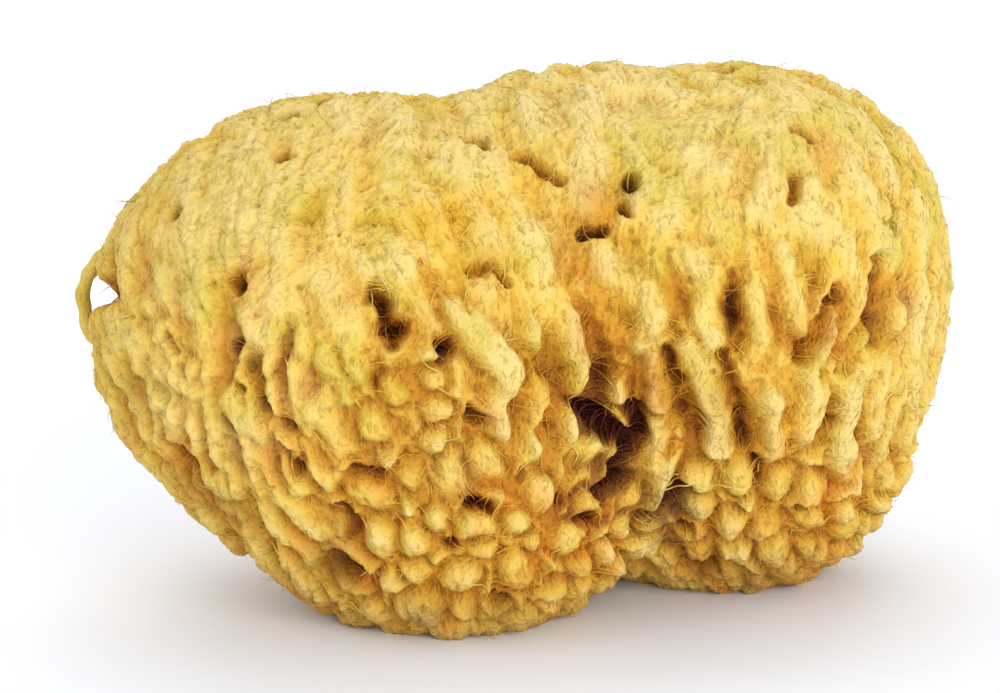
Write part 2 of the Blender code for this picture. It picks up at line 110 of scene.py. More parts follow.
def on_lobes(directions):
    """The outermost lobe surface in each direction from the heart."""
    unit = directions / np.linalg.norm(directions, axis=-1, keepdims=True)
    return crossing(HEART, unit, 0.8 * LENGTH, 0.0, 70)


def scattered(count, seed):
    """Places all over the lobes, in seeded order."""
    return on_lobes(np.random.default_rng(seed).normal(size=(count, 3)))


def settle(points):
    """Points close to the lobes, drawn onto them along the slope by Newton steps."""
    for _ in range(NEWTON_STEPS):
        value, slope = lobe_field(points)
        points = points - (value / (slope ** 2).sum(-1))[..., None] * slope
    return points


def normals(points):
    """Outward unit normals of the lobes."""
    slope = lobe_field(points)[1]
    return slope / np.linalg.norm(slope, axis=-1, keepdims=True)


# The front is laid out on a picture, in which the sponge is PICTURE_LENGTH px long
PICTURE_WIDTH = 1000.0
PICTURE_LENGTH = 867.0
PICTURE_MIDDLE = (500.0, 346.5)
PIXEL = LENGTH / PICTURE_LENGTH
VIEW_TILT = math.radians(12.0)
VIEW_DISTANCE = 0.54
VIEW_AIM = np.array([-0.0023, 0.0, 0.0413])
VIEW_BACK = np.array([0.0, -math.cos(VIEW_TILT), math.sin(VIEW_TILT)])
VIEW_UP = np.array([0.0, math.sin(VIEW_TILT), math.cos(VIEW_TILT)])


def sight(picture_points):
    """The places on the lobes seen at the given picture points."""
    offset = (np.asarray(picture_points, float) - PICTURE_MIDDLE) * PIXEL
    ray = -VIEW_DISTANCE * VIEW_BACK + offset[:, :1] * np.array([1.0, 0.0, 0.0]) - offset[:, 1:] * VIEW_UP
    return crossing(VIEW_AIM + VIEW_DISTANCE * VIEW_BACK, ray, 0.80, 1.20, 160)


def waves(points, length, seed):
    """Slow noise from -1 to 1: eight sine waves of one length in seeded directions."""
    rng = np.random.default_rng(seed)
    total = np.zeros(points.shape[:-1])
    for _ in range(8):
        direction = rng.normal(size=3)
        direction /= np.linalg.norm(direction)
        total += np.sin(points @ direction * (2.0 * math.pi / length) + rng.uniform(0.0, TURN))
    return np.clip(total / 4.0, -1.0, 1.0)


LEAN = 0.75                  # of the strands on the left lobe, against those on the right one
LEAN_END = 12.0 * MM         # along X, where they begin to lean, and over what length they do so
LEAN_FADE = 40.0 * MM
UPWARD = 0.6                 # share of the upward slope in the way they run
SWIRL = 0.45                 # how far they swing sideways, in waves SWIRL_LENGTH long
SWIRL_LENGTH = 45.0 * MM


def grain(points, normal):
    """The way the strands run: round the long axis, leaning over on the left lobe.

    grain = n x (x + lean z) + a little of the upward slope, laid in the surface.
    """
    lean = LEAN * np.clip((LEAN_END - points[..., 0]) / LEAN_FADE, 0.0, 1.0)
    axis = np.stack([np.ones_like(lean), np.zeros_like(lean), lean], -1)
    along = np.cross(normal, axis) * np.where(normal[..., 1:2] > 0.0, -1.0, 1.0)
    upward = np.array([0.0, 0.0, 1.0]) - normal * normal[..., 2:3]
    along = along + UPWARD * upward
    swirl = np.cross(normal, along)
    along = along + SWIRL * waves(points, SWIRL_LENGTH, SEED)[..., None] * swirl
    return along / np.maximum(np.linalg.norm(along, axis=-1, keepdims=True), 1e-9)


# Strands on the front: picture points along each, then its half-width in px
FRONT_STRANDS = [
    ([(452, 310), (515, 365), (555, 405), (595, 450)], 18),
    ([(520, 200), (545, 255), (562, 300), (585, 395)], 18),
    ([(380, 230), (410, 275), (440, 330)], 17),
    ([(265, 275), (300, 340), (350, 390)], 16),
    ([(320, 270), (345, 330), (370, 400)], 17),
    ([(225, 310), (245, 335), (262, 365)], 14),
    ([(150, 330), (180, 400), (215, 500)], 15),
    ([(178, 372), (200, 440), (232, 505)], 13),
    ([(225, 400), (262, 450), (300, 500)], 16),
    ([(285, 455), (335, 495)], 14),
    ([(318, 415), (345, 455)], 15),
    ([(605, 245), (628, 280), (650, 310)], 19),
    ([(620, 360), (622, 405)], 10),
    ([(655, 360), (660, 410)], 12),
    ([(688, 350), (705, 400), (715, 460)], 15),
    ([(690, 250), (703, 295), (715, 335)], 18),
    ([(755, 250), (760, 300), (765, 345)], 16),
    ([(790, 250), (796, 295), (800, 335)], 13),
    ([(765, 400), (772, 430), (776, 462)], 17),
    ([(785, 355), (825, 405), (805, 455)], 15),
    ([(845, 150), (850, 200), (852, 245), (868, 335)], 17),
    ([(925, 200), (928, 330), (915, 450)], 18),
    ([(890, 360), (882, 440)], 17),
    ([(856, 390), (850, 480)], 16),
    ([(590, 150), (592, 190)], 22),
]

# Knobs on the front: picture point and radius in px
FRONT_KNOBS = [
    (375, 430, 15), (400, 395, 14), (443, 383, 13), (443, 417, 13), (435, 450, 14), (455, 478, 19),
    (493, 463, 18), (545, 492, 19), (365, 505, 19), (405, 480, 14), (415, 545, 19), (418, 580, 14),
    (395, 592, 14), (460, 592, 17), (465, 622, 14), (480, 532, 17), (520, 525, 14), (540, 545, 14),
    (525, 580, 22), (440, 518, 13), (375, 550, 18), (580, 545, 17), (590, 575, 15), (560, 605, 16),
    (635, 530, 16), (640, 495, 14), (612, 560, 15), (740, 487, 17), (790, 495, 19), (730, 535, 20),
    (700, 490, 15), (770, 540, 18), (690, 545, 15), (660, 570, 15), (820, 530, 16), (850, 520, 15),
]

# Mouths and slits on the front: picture points along each, its half-width in px, its depth in mm
FRONT_MOUTHS = [
    ([(593, 420), (612, 429)], 9, 6.0),
    ([(610, 436), (628, 446)], 14, 9.0),
    ([(634, 418), (636, 448)], 10, 8.0),
    ([(628, 448), (626, 476)], 15, 10.0),
    ([(620, 478), (612, 496)], 10, 8.0),
    ([(575, 507), (600, 518)], 9, 4.5),
    ([(556, 522), (576, 522)], 6, 3.0),
    ([(157, 332), (165, 352)], 6, 2.5),
    ([(235, 388), (236, 392)], 7, 3.0),
    ([(258, 402), (284, 440)], 10, 2.8),
    ([(338, 528), (342, 550)], 9, 4.0),
    ([(350, 482), (372, 486)], 9, 3.0),
    ([(760, 440), (762, 492)], 9, 2.8),
    ([(665, 430), (668, 462)], 10, 3.5),
    ([(682, 498), (662, 524)], 13, 9.0),
    ([(645, 537), (682, 546)], 9, 7.0),
    ([(396, 335), (397, 337)], 14, 11.0),
    ([(366, 290), (390, 325)], 9, 7.0),
    ([(450, 348), (451, 351)], 13, 10.0),
    ([(233, 272), (235, 279)], 15, 7.0),
    ([(474, 136), (481, 138)], 11, 6.0),
    ([(629, 165), (630, 205)], 8, 8.0),
    ([(172, 204), (172, 208)], 9, 6.0),
    ([(289, 110), (292, 113)], 9, 6.0),
    ([(282, 143), (288, 147)], 10, 4.0),
    ([(520, 150), (555, 178)], 9, 3.5),
    ([(590, 225), (610, 226)], 9, 4.5),
    ([(888, 262), (888, 335)], 13, 4.5),
    ([(838, 290), (825, 330), (810, 362)], 13, 5.0),
    ([(730, 350), (736, 430), (744, 460)], 11, 4.0),
    ([(667, 355), (674, 425)], 12, 3.8),
    ([(584, 300), (600, 345), (608, 385)], 15, 2.4),
    ([(480, 424), (494, 427)], 12, 6.0),
    ([(455, 550), (459, 556)], 9, 6.0),
    ([(480, 508), (490, 511)], 8, 6.0),
    ([(325, 572), (345, 588)], 15, 6.0),
    ([(505, 615), (515, 616)], 10, 6.0),
    ([(693, 578), (708, 579)], 10, 6.0),
    ([(598, 526), (607, 527)], 8, 6.0),
    ([(475, 270), (495, 268), (510, 280)], 8, 3.0),
    ([(270, 455), (290, 485)], 8, 4.5),
    ([(221, 430), (223, 434)], 9, 4.5),
    ([(219, 348), (221, 353)], 9, 4.5),
    ([(378, 390), (382, 392)], 9, 5.0),
    ([(538, 370), (539, 380)], 8, 4.0),
    ([(806, 124), (814, 127)], 9, 4.5),
    ([(795, 170), (796, 195)], 8, 3.0),
    ([(900, 195), (901, 225)], 7, 4.5),
    ([(835, 428), (836, 432)], 8, 5.0),
    ([(807, 520), (809, 522)], 8, 5.0),
    ([(728, 270), (742, 320)], 9, 3.5),
    ([(150, 440), (185, 475)], 9, 4.5),
]

# The see-through gap on the left rim: a groove over the rim
RIM_GROOVE = [(-0.43, -0.20, 0.634), (-0.48, -0.08, 0.605), (-0.50, 0.0, 0.585), (-0.48, 0.08, 0.565),
              (-0.43, 0.20, 0.536)]
RIM_GROOVE_HALF = 3.7 * MM
RIM_GROOVE_DEPTH = 5.0 * MM


def rim_places(shares):
    """Places on the lobes that lie straight out from the heart through the given ones."""
    return on_lobes(to_metres(shares) - HEART)


# Knobs grown low down where the picture names none
KNOB_HALF = 2.9 * MM         # radius of a usual knob
KNOB_ZONE = 22.0 * MM        # height below which the skin is knobs, but for the left flank
KNOB_TRIES = 2500
FLANK_END = -26.0 * MM       # along X, where the left flank of finer strands ends
FLANK_FADE = 6.0 * MM
FLANK_SHARE = 0.62           # of the grooves' depth that is left on it
CROWDING = 0.84              # gap between two knobs' middles, as a share of their half-widths' sum
PLACE_SPACING = 1.2 * MM     # of the places that stand for a strand when room is sought


def front_strands():
    """The strands read off the front: a list of (points, half-width)."""
    return [(sight(path), half * PIXEL) for path, half in FRONT_STRANDS]


def all_knobs(strands):
    """The knobs read off the front, then more in the room that is left low down: (points, half-width)."""
    knobs = [(sight([(x, y), (x + 2, y + 3)]), radius * PIXEL) for x, y, radius in FRONT_KNOBS]
    taken = [dense(path) for path, _ in strands + knobs]
    places = np.concatenate(taken)
    widths = np.repeat([half for _, half in strands + knobs], [len(points) for points in taken])
    rng = np.random.default_rng(SEED)
    for seed in scattered(KNOB_TRIES, SEED):
        half = KNOB_HALF * rng.uniform(0.75, 1.25)
        run = rng.uniform(0.1, 0.9) * KNOB_HALF
        top = KNOB_ZONE + KNOB_HALF * rng.uniform(-1.0, 1.0)
        is_near = (np.linalg.norm(places - seed, axis=1) < CROWDING * (widths + half)).any()
        if is_near or seed[2] > top or seed[0] < FLANK_END:
            continue
        end = seed + run * grain(seed, normals(seed))
        knobs.append((settle(np.array([seed, end])), half))
        places = np.concatenate([places, [seed]])
        widths = np.append(widths, half)
    return knobs


def dense(path):
    """Places along a path, no more than PLACE_SPACING or so apart."""
    pieces = [path[:1]]
    for a, b in zip(path[:-1], path[1:]):
        count = max(1, int(np.linalg.norm(b - a) / PLACE_SPACING))
        pieces.append(a + (b - a) * (np.arange(1, count + 1) / count)[:, None])
    return np.concatenate(pieces)


# Mouths where the picture shows none: on the back, the ends and the top
MOUTH_DEPTH = 8.0 * MM
MOUTH_HALVES = (1.3 * MM, 2.5 * MM)
MOUTH_LENGTHS = (0.4 * MM, 1.0 * MM, 3.0 * MM, 8.0 * MM)
MOUTH_SPACING = 12.5 * MM
MOUTH_TRIES = 900
MOUTH_RAGGEDNESS = 0.38      # how far the edge of every mouth goes in and out, as a share of its half-width
RAGGED_LENGTH = 3.6 * MM
CUT_HEIGHT = 1.5 * MM        # of the flat cut above the lowest swell of the lobes
CUT_FADE = 7.0 * MM          # height over which the relief settles into the cut base
CUT_SHARE = 0.3              # of the relief that is left at the cut


def all_mouths():
    """Every mouth, slit and the rim groove: a list of (points, half-width, depth)."""
    result = []
    for path, half, depth in FRONT_MOUTHS:
        result.append((sight(path), half * PIXEL, depth * MM))
    result.append((rim_places(RIM_GROOVE), RIM_GROOVE_HALF, RIM_GROOVE_DEPTH))
    rng = np.random.default_rng(SEED + 1)
    chosen = np.zeros((0, 3))
    for seed in scattered(MOUTH_TRIES, SEED + 1):
        normal = normals(seed)
        seen_in_picture = normal[1] < -0.15
        near_another = (np.linalg.norm(chosen - seed, axis=1) < MOUTH_SPACING).any()
        if seen_in_picture or near_another or seed[2] < CUT_FADE:
            continue
        chosen = np.concatenate([chosen, [seed]])
        end = seed + grain(seed, normal) * rng.choice(MOUTH_LENGTHS)
        depth = MOUTH_DEPTH * rng.uniform(0.45, 1.1)
        result.append((settle(np.array([seed, end])), rng.uniform(*MOUTH_HALVES), depth))
    return result


# Streaks: the strands and grooves that cover all of the skin
GROOVE_DEPTH = 4.7 * MM      # from a high strand's crest to the groove beside it
GROOVE_RANGE = (-1.7, 1.3)   # of the streaks' noise, from the bottom of a groove to a crest
STREAKS = {                  # width of a strand with the groove beside it, and its length
    "middle": (5.8 * MM, 22.0 * MM),
    "flank": (4.2 * MM, 26.0 * MM),
    "top": (7.0 * MM, 9.0 * MM),
}
STREAK_WAVES = 90            # that each pattern of streaks is a sum of
WAVE_SPREAD = (0.75, 1.4)    # of their lengths, as shares of the width
CALM_HEIGHTS = (46.0 * MM, 66.0 * MM)   # over which the skin grows smoother towards the top
CALM_SHARE = 0.34            # of the grooves' depth that is left on the smoother top
EVEN_HEIGHTS = (26.0 * MM, 38.0 * MM)   # below which all grooves are equally deep
GROOVE_SHARE = 0.82          # of GROOVE_DEPTH that a usual groove has
UNEVEN_SHARE = 0.30          # of GROOVE_DEPTH that this goes up and down by, in waves UNEVEN_LENGTH long
UNEVEN_LENGTH = 22.0 * MM
CELL_REACH = (1.1, 1.9)      # over which a knob or listed strand gives way to streaks, in half-widths
STRAND_NOISE = (0.8, -1.0)   # what a listed strand adds to the noise in its middle and at its border
STRAND_HOLD = 0.3            # share of the streaks' own noise that is lost there
STRAND_SHARPNESS = 1.7       # the higher, the flatter a listed strand and the narrower the groove round it
KNOB_GROOVE = 3.9 * MM       # from a high knob's top to the groove round it
KNOB_SPREAD = 0.35           # how far knobs lie below one another, as a share of KNOB_GROOVE
KNOB_SHARPNESS = 2.4
WAVERS = (                   # sideways waver of every groove: length of its waves, and how far it goes
    (17.0 * MM, 1.1 * MM), (6.5 * MM, 0.4 * MM), (3.0 * MM, 0.15 * MM),
)


def path_distance(points, path):
    """Distance from each point to a path of straight stretches."""
    nearest = np.full(len(points), 1.0)
    for a, b in zip(path[:-1], path[1:]):
        run = b - a
        share = np.clip(((points - a) @ run) / max(run @ run, 1e-12), 0.0, 1.0)
        nearest = np.minimum(nearest, np.linalg.norm(points - a - share[:, None] * run, axis=1))
    return nearest


def within(points, path, reach):
    """Numbers of the points that lie in a path's box, grown by reach all round."""
    low, high = path.min(0) - reach, path.max(0) + reach
    return np.where(((points > low) & (points < high)).all(1))[0]


def cells(points, strands):
    """For each point, how near it is to a strand and to its border with the next one.

    f, g = distances to the nearest and second nearest strand in half-widths, border b = f / ((f + g) / 2)
    with that half-sum kept from 0.6 to 1.25. Returns f, b and the nearest strand's number.
    """
    farthest = 4.0
    first = np.full(len(points), farthest)
    second = np.full(len(points), farthest)
    owner = np.zeros(len(points), int)
    for number, (path, half) in enumerate(strands):
        near = within(points, path, farthest * half)
        distance = path_distance(points[near], path) / half
        closer = distance < first[near]
        second[near] = np.minimum(second[near], np.where(closer, first[near], distance))
        owner[near[closer]] = number
        first[near] = np.minimum(first[near], distance)
    border = first / np.clip((first + second) / 2.0, 0.6, 1.25)
    return first, np.clip(border, 0.0, 1.0), owner


def easing(values, low, high):
    """0 below low, 1 above high, and 3 t^2 - 2 t^3 between."""
    t = np.clip((values - low) / (high - low), 0.0, 1.0)
    return t * t * (3.0 - 2.0 * t)


def streaks(points, along, width, length):
    """Noise drawn out along the grain, with a mean of about 0 and a spread of 1.

    sum_i sin(k_i p + a_i) sinc(k_i g length / 2), for waves k_i about one width long.
    """
    rng = np.random.default_rng(SEED + 4)
    total = np.zeros(len(points))
    for _ in range(STREAK_WAVES):
        direction = rng.normal(size=3)
        wave = width * rng.uniform(*WAVE_SPREAD)
        direction *= 2.0 * math.pi / (wave * np.linalg.norm(direction))
        share = np.sinc(along @ direction * length / (2.0 * math.pi))
        total += share * np.sin(points @ direction + rng.uniform(0.0, 2.0 * math.pi))
    return total / total.std()


def streak_relief(points, bent, strands):
    """Depth of the skin below the lobes between strands: groove (1 - easing(n, GROOVE_RANGE)).

    On the flank the same depth is drawn towards groove / 2, so that its grooves are shallower.

    n is the streaks' noise, drawn up in the middle of each listed strand and down at its border:
    n = (1 - hold c) s + c (middle + (edge - middle) b^STRAND_SHARPNESS), with c = 1 on the strand.
    """
    along = grain(points, normals(points))
    on_flank = 1.0 - easing(points[:, 0], FLANK_END, FLANK_END + FLANK_FADE)
    on_top = easing(points[:, 2], *CALM_HEIGHTS)
    middle, flank, top = (streaks(bent, along, *STREAKS[name]) for name in ("middle", "flank", "top"))
    noise = middle + on_flank * (flank - middle)
    noise = noise + on_top * (top - noise)
    nearness, border, _ = cells(bent, strands)
    on_strand = 1.0 - easing(nearness, *CELL_REACH)
    drawn = STRAND_NOISE[0] + (STRAND_NOISE[1] - STRAND_NOISE[0]) * border ** STRAND_SHARPNESS
    noise = noise * (1.0 - STRAND_HOLD * on_strand) + drawn * on_strand
    unevenness = waves(points, UNEVEN_LENGTH, SEED + 3) * easing(points[:, 2], *EVEN_HEIGHTS)
    groove = GROOVE_DEPTH * (GROOVE_SHARE + UNEVEN_SHARE * unevenness)
    groove = groove * (1.0 - (1.0 - CALM_SHARE) * on_top)
    flank_share = 1.0 - (1.0 - FLANK_SHARE) * on_flank
    return groove * (0.5 + flank_share * (0.5 - easing(noise, *GROOVE_RANGE)))


def skin_relief(points, bent, strands, knobs):
    """Depth of the skin below the lobes: between strands, and where there are knobs between those.

    A knob's top lies a seeded share of KNOB_GROOVE deep, and from there it is
    top + (KNOB_GROOVE - top) b^KNOB_SHARPNESS.
    """
    depth = streak_relief(points, bent, strands)
    nearness, border, owner = cells(bent, knobs)
    rng = np.random.default_rng(SEED + 2)
    top = KNOB_GROOVE * rng.uniform(0.0, KNOB_SPREAD, len(knobs))[owner]
    knob_depth = top + (KNOB_GROOVE - top) * border ** KNOB_SHARPNESS
    depth = depth + (1.0 - easing(nearness, *CELL_REACH)) * (knob_depth - depth)
    height = np.clip((points[:, 2] - CUT_HEIGHT) / CUT_FADE, 0.0, 1.0)
    return depth * (CUT_SHARE + (1.0 - CUT_SHARE) * height)


def mouth_relief(points, bent, openings):
    """Depth that mouths add: d (1 - (t / r)^2)^1.5 at distance t, for half-width r and depth d.

    Noise unsettles t, so that the edges are ragged. Where mouths overlap, the deeper one counts.
    """
    ragged = 1.0 + MOUTH_RAGGEDNESS * waves(points, RAGGED_LENGTH, SEED + 6)
    depth = np.zeros(len(bent))
    for path, half, mouth_depth in openings:
        near = within(bent, path, half / (1.0 - MOUTH_RAGGEDNESS))
        share = np.clip(ragged[near] * path_distance(bent[near], path) / half, 0.0, 1.0)
        depth[near] = np.maximum(depth[near], mouth_depth * (1.0 - share ** 2) ** 1.5)
    return depth


# Finer relief: bundles and threads drawn out along the grain, pores between them, and grit
SWELLS = (11.0 * MM, 0.5 * MM)          # slow rise and fall along strands: length and depth
BUNDLES = (2.1 * MM, 12.0 * MM, 0.55 * MM)       # width, length and depth of what each strand is made of
THREADS = (0.85 * MM, 4.0 * MM, 0.32 * MM)
PORE_SPACING = 1.8 * MM
PORE_RADII = (0.10, 0.42)    # as shares of PORE_SPACING
PORE_DEPTH = 0.6 * MM
PORE_RAGGEDNESS = 0.22       # sideways reach of the unevenness of their edges, as a share of PORE_SPACING
GRIT = ((0.9 * MM, 0.14 * MM), (0.45 * MM, 0.07 * MM))


def lattice_random(cell, seed):
    """Three seeded numbers from 0 to 1 for each whole-numbered cell, by an integer hash."""
    mixed = cell.astype(np.int64) @ np.array([73856093, 19349663, 83492791]) + seed * 2654435761
    numbers = []
    for _ in range(3):
        mixed = ((mixed ^ (mixed >> 15)) * 739983213) & 0xFFFFFFFF
        mixed = ((mixed ^ (mixed >> 13)) * 1540483477) & 0xFFFFFFFF
        numbers.append((mixed ^ (mixed >> 14)) % 65536 / 65535.0)
    return np.stack(numbers, -1)


def lattice_noise(points, size, seed):
    """Noise from -1 to 1: seeded numbers at the corners of cells of this size, eased into one another."""
    scaled = points / size
    home = np.floor(scaled)
    share = scaled - home
    share = share * share * (3.0 - 2.0 * share)
    total = np.zeros(len(points))
    for corner in [(x, y, z) for x in (0, 1) for y in (0, 1) for z in (0, 1)]:
        weight = np.where(np.array(corner) > 0, share, 1.0 - share).prod(-1)
        total += weight * lattice_random(home + corner, seed)[:, 0]
    return 2.0 * total - 1.0


def streak_grooves(points, along, width, length, depth, seed):
    """Grooves between threads: depth (1 - |n| / 1.3 spread)^1.5, for the mean n of noise along the grain."""
    noise = np.zeros(len(points))
    for reach in np.linspace(-0.5, 0.5, 9) * length:
        noise += lattice_noise(points + reach * along, width, seed)
    return depth * np.clip(1.0 - np.abs(noise) / (1.3 * noise.std()), 0.0, 1.0) ** 1.5


def pores(points, along, seed):
    """Ragged pits round scattered cell middles: depth d (1 - (t / r)^2) at distance t within radius r.

    They are 1.5 times as long as wide, along the grain.
    """
    ragged = [lattice_noise(points, PORE_SPACING / 2.0, seed + 20 + axis) for axis in range(3)]
    scaled = points / PORE_SPACING + PORE_RAGGEDNESS * np.stack(ragged, -1)
    home = np.floor(scaled)
    nearest = np.full(len(points), 9.0)
    number = np.zeros(len(points))
    for step in [(x, y, z) for x in (-1, 0, 1) for y in (-1, 0, 1) for z in (-1, 0, 1)]:
        numbers = lattice_random(home + step, seed)
        gap = home + step + numbers - scaled
        run = (gap * along).sum(-1)
        distance = np.sqrt(np.maximum((gap ** 2).sum(-1) - (1.0 - 1.5 ** -2) * run ** 2, 0.0))
        closer = distance < nearest
        number = np.where(closer, (numbers[:, 0] * 7.0) % 1.0, number)
        nearest = np.minimum(nearest, distance)
    radius = PORE_RADII[0] + (PORE_RADII[1] - PORE_RADII[0]) * number
    return PORE_DEPTH * (0.5 + 0.5 * number) * np.clip(1.0 - (nearest / radius) ** 2, 0.0, 1.0)


COARSE = 128                 # squares along each side of the six faces of the cube it is drawn from
GRID = 2 * COARSE            # the same once each square is halved for the finer relief
CUBE_FACES = [               # outward axis, first and second axis of each face
    ((1, 0, 0), (0, 1, 0), (0, 0, 1)), ((-1, 0, 0), (0, -1, 0), (0, 0, 1)),
    ((0, 1, 0), (-1, 0, 0), (0, 0, 1)), ((0, -1, 0), (1, 0, 0), (0, 0, 1)),
    ((0, 0, 1), (1, 0, 0), (0, 1, 0)), ((0, 0, -1), (1, 0, 0), (0, -1, 0)),
]
FACE_NAMES = ["right", "left", "back", "front", "top", "bottom"]


def cube_directions():
    """Directions on six grids: out + tan(u) a + tan(v) b, with u and v from -45 to 45 degrees."""
    angle = np.tan(np.linspace(-math.pi / 4.0, math.pi / 4.0, COARSE + 1))
    u, v = np.meshgrid(angle, angle, indexing="ij")
    grids = []
    for out, a, b in np.array(CUBE_FACES, float):
        grids.append(out + u[..., None] * a + v[..., None] * b)
    directions = np.array(grids)
    return directions / np.linalg.norm(directions, axis=-1, keepdims=True)


def halved(values):
    """Values on the six coarse grids, read also halfway between their points."""
    values = values.reshape(6, COARSE + 1, COARSE + 1, -1)
    fine = np.zeros((6, GRID + 1, GRID + 1, values.shape[-1]))
    fine[:, ::2, ::2] = values
    fine[:, 1::2, ::2] = (values[:, 1:] + values[:, :-1]) / 2.0
    fine[:, :, 1::2] = (fine[:, :, 2::2] + fine[:, :, :-2:2]) / 2.0
    return fine.reshape(-1, values.shape[-1]).squeeze()


def cut_flat(points):
    """Points below the flat cut, brought up to it along their line to the heart."""
    share = (CUT_HEIGHT - HEART[2]) / np.minimum(points[:, 2] - HEART[2], -1e-6)
    share = np.where(points[:, 2] < CUT_HEIGHT, share, 1.0)
    return HEART + (points - HEART) * share[:, None]


# How strongly each part of the relief counts for the colour, which goes by depth: darker deeper down,
# partly the spongin's own colour and partly painted shade
LOOK_SHARES = {"calm": 0.5, "swell": 0.3, "bundle": 0.8, "thread": 0.9}

coarse_points = on_lobes(cube_directions().reshape(-1, 3))
coarse_normals = normals(coarse_points)
coarse_grain = grain(coarse_points, coarse_normals)
bent_points = coarse_points
for length, reach in WAVERS:
    waver = [waves(coarse_points, length, SEED + 10 + axis) for axis in range(3)]
    bent_points = bent_points + reach * np.stack(waver, -1)
strands = front_strands()
strand_depth = skin_relief(coarse_points, bent_points, strands, all_knobs(strands))
calm = easing(coarse_points[:, 2], *CALM_HEIGHTS)
swell = SWELLS[1] * (0.5 + 0.5 * waves(coarse_points, SWELLS[0], SEED + 5)) * (1.0 - 0.4 * calm)
large_depth = halved(strand_depth + mouth_relief(coarse_points, bent_points, all_mouths()))
lobe_points = halved(coarse_points)
lobe_normals = halved(coarse_normals)
lobe_grain = halved(coarse_grain)
bundle_depth = streak_grooves(lobe_points, lobe_grain, *BUNDLES, SEED + 6)
thread_depth = streak_grooves(lobe_points, lobe_grain, *THREADS, SEED + 7)
pore_depth = pores(lobe_points, lobe_grain, SEED + 8)
grit_depth = sum(depth * lattice_noise(lobe_points, size, SEED + 9) for size, depth in GRIT)
sunk = large_depth + halved(swell) + bundle_depth + thread_depth + pore_depth + grit_depth
skin_points = cut_flat(lobe_points - lobe_normals * sunk[:, None])
look_depth = (
    large_depth + LOOK_SHARES["calm"] * halved(calm * strand_depth) + LOOK_SHARES["swell"] * halved(swell)
    + LOOK_SHARES["bundle"] * bundle_depth + LOOK_SHARES["thread"] * thread_depth + pore_depth
) / MM

SHIFT = np.array([-0.69 * MM, -1.29 * MM, -CUT_HEIGHT])     # from the lobes' frame to the whole part's


def make_object(name, points, faces, attributes, vertex_normals=None):
    """A mesh object at the origin from arrays of places and triangles, with numbers for its material."""
    mesh = bpy.data.meshes.new(name)
    mesh.vertices.add(len(points))
    mesh.vertices.foreach_set("co", (points + SHIFT).astype(np.float32).ravel())
    mesh.loops.add(faces.size)
    mesh.loops.foreach_set("vertex_index", faces.astype(np.int32).ravel())
    mesh.polygons.add(len(faces))
    mesh.polygons.foreach_set("loop_start", np.arange(0, faces.size, 3, dtype=np.int32))
    mesh.update(calc_edges=True)
    mesh.shade_smooth()
    if vertex_normals is not None:
        mesh.normals_split_custom_set_from_vertices(vertex_normals.astype(np.float32))
    for label, values in attributes.items():
        layer = mesh.attributes.new(label, "FLOAT", "POINT")
        layer.data.foreach_set("value", values.astype(np.float32))
    made = bpy.data.objects.new(name, mesh)
    bpy.context.scene.collection.objects.link(made)
    return made


def grid_triangles():
    """Two triangles for each square of one face's grid."""
    number = np.arange((GRID + 1) ** 2).reshape(GRID + 1, GRID + 1)
    a, b, c, d = number[:-1, :-1], number[1:, :-1], number[1:, 1:], number[:-1, 1:]
    return np.concatenate([np.stack([a, b, c], -1).reshape(-1, 3), np.stack([a, c, d], -1).reshape(-1, 3)])


def grid_normals(points):
    """Vertex normals of the six grids: area-weighted sums, shared where two grids meet along an edge."""
    triangles = grid_triangles()
    grids = points.reshape(6, -1, 3)
    sums = np.zeros_like(grids)
    for face in range(6):
        a, b, c = (grids[face][triangles[:, corner]] for corner in range(3))
        area = np.cross(b - a, c - a)
        for axis in range(3):
            for corner in range(3):
                sums[face, :, axis] += np.bincount(triangles[:, corner], area[:, axis], grids.shape[1])
    edge = np.zeros((6, GRID + 1, GRID + 1), bool)
    edge[:, (0, -1), :] = edge[:, :, (0, -1)] = True
    edge = np.where(edge.ravel())[0]
    places = np.round(points[edge] * 1e7).astype(np.int64)
    _, meeting = np.unique(places, axis=0, return_inverse=True)
    flat = sums.reshape(-1, 3)
    for axis in range(3):
        flat[edge, axis] = np.bincount(meeting.ravel(), flat[edge, axis])[meeting.ravel()]
    return flat / np.maximum(np.linalg.norm(flat, axis=1, keepdims=True), 1e-12)


# Where the skin's colour changes on the front, some of it painted shade: picture point, radius in px,
# strength
# Amber: partly the sponge's own colour, partly painted shade in the grooves, mouths and low places most of
# these sit on.
AMBER_PATCHES = [
    (600, 200, 24, 0.9), (590, 270, 18, 0.6), (600, 335, 26, 1.0), (655, 375, 26, 0.9), (672, 415, 26, 0.7),
    (245, 272, 20, 0.7), (400, 325, 22, 0.7), (480, 425, 22, 1.0), (405, 470, 18, 0.6), (885, 300, 22, 0.8),
    (825, 335, 22, 0.9), (735, 400, 24, 0.9), (745, 440, 20, 0.6), (700, 540, 30, 0.6), (440, 330, 20, 0.5),
    (485, 265, 18, 0.7), (350, 295, 14, 0.5), (815, 250, 16, 0.5), (540, 395, 16, 0.5), (625, 505, 22, 0.6),
    (600, 560, 22, 0.4), (790, 585, 40, 0.5), (700, 582, 26, 1.0),
]
YELLOW_PATCHES = [
    (450, 215, 42, 1.0), (395, 215, 26, 0.6), (520, 168, 22, 0.6), (560, 400, 16, 0.5), (640, 300, 20, 0.5),
    (330, 205, 16, 0.6), (790, 430, 30, 0.5), (535, 380, 22, 0.6), (480, 200, 20, 0.6), (430, 600, 30, 0.3),
]
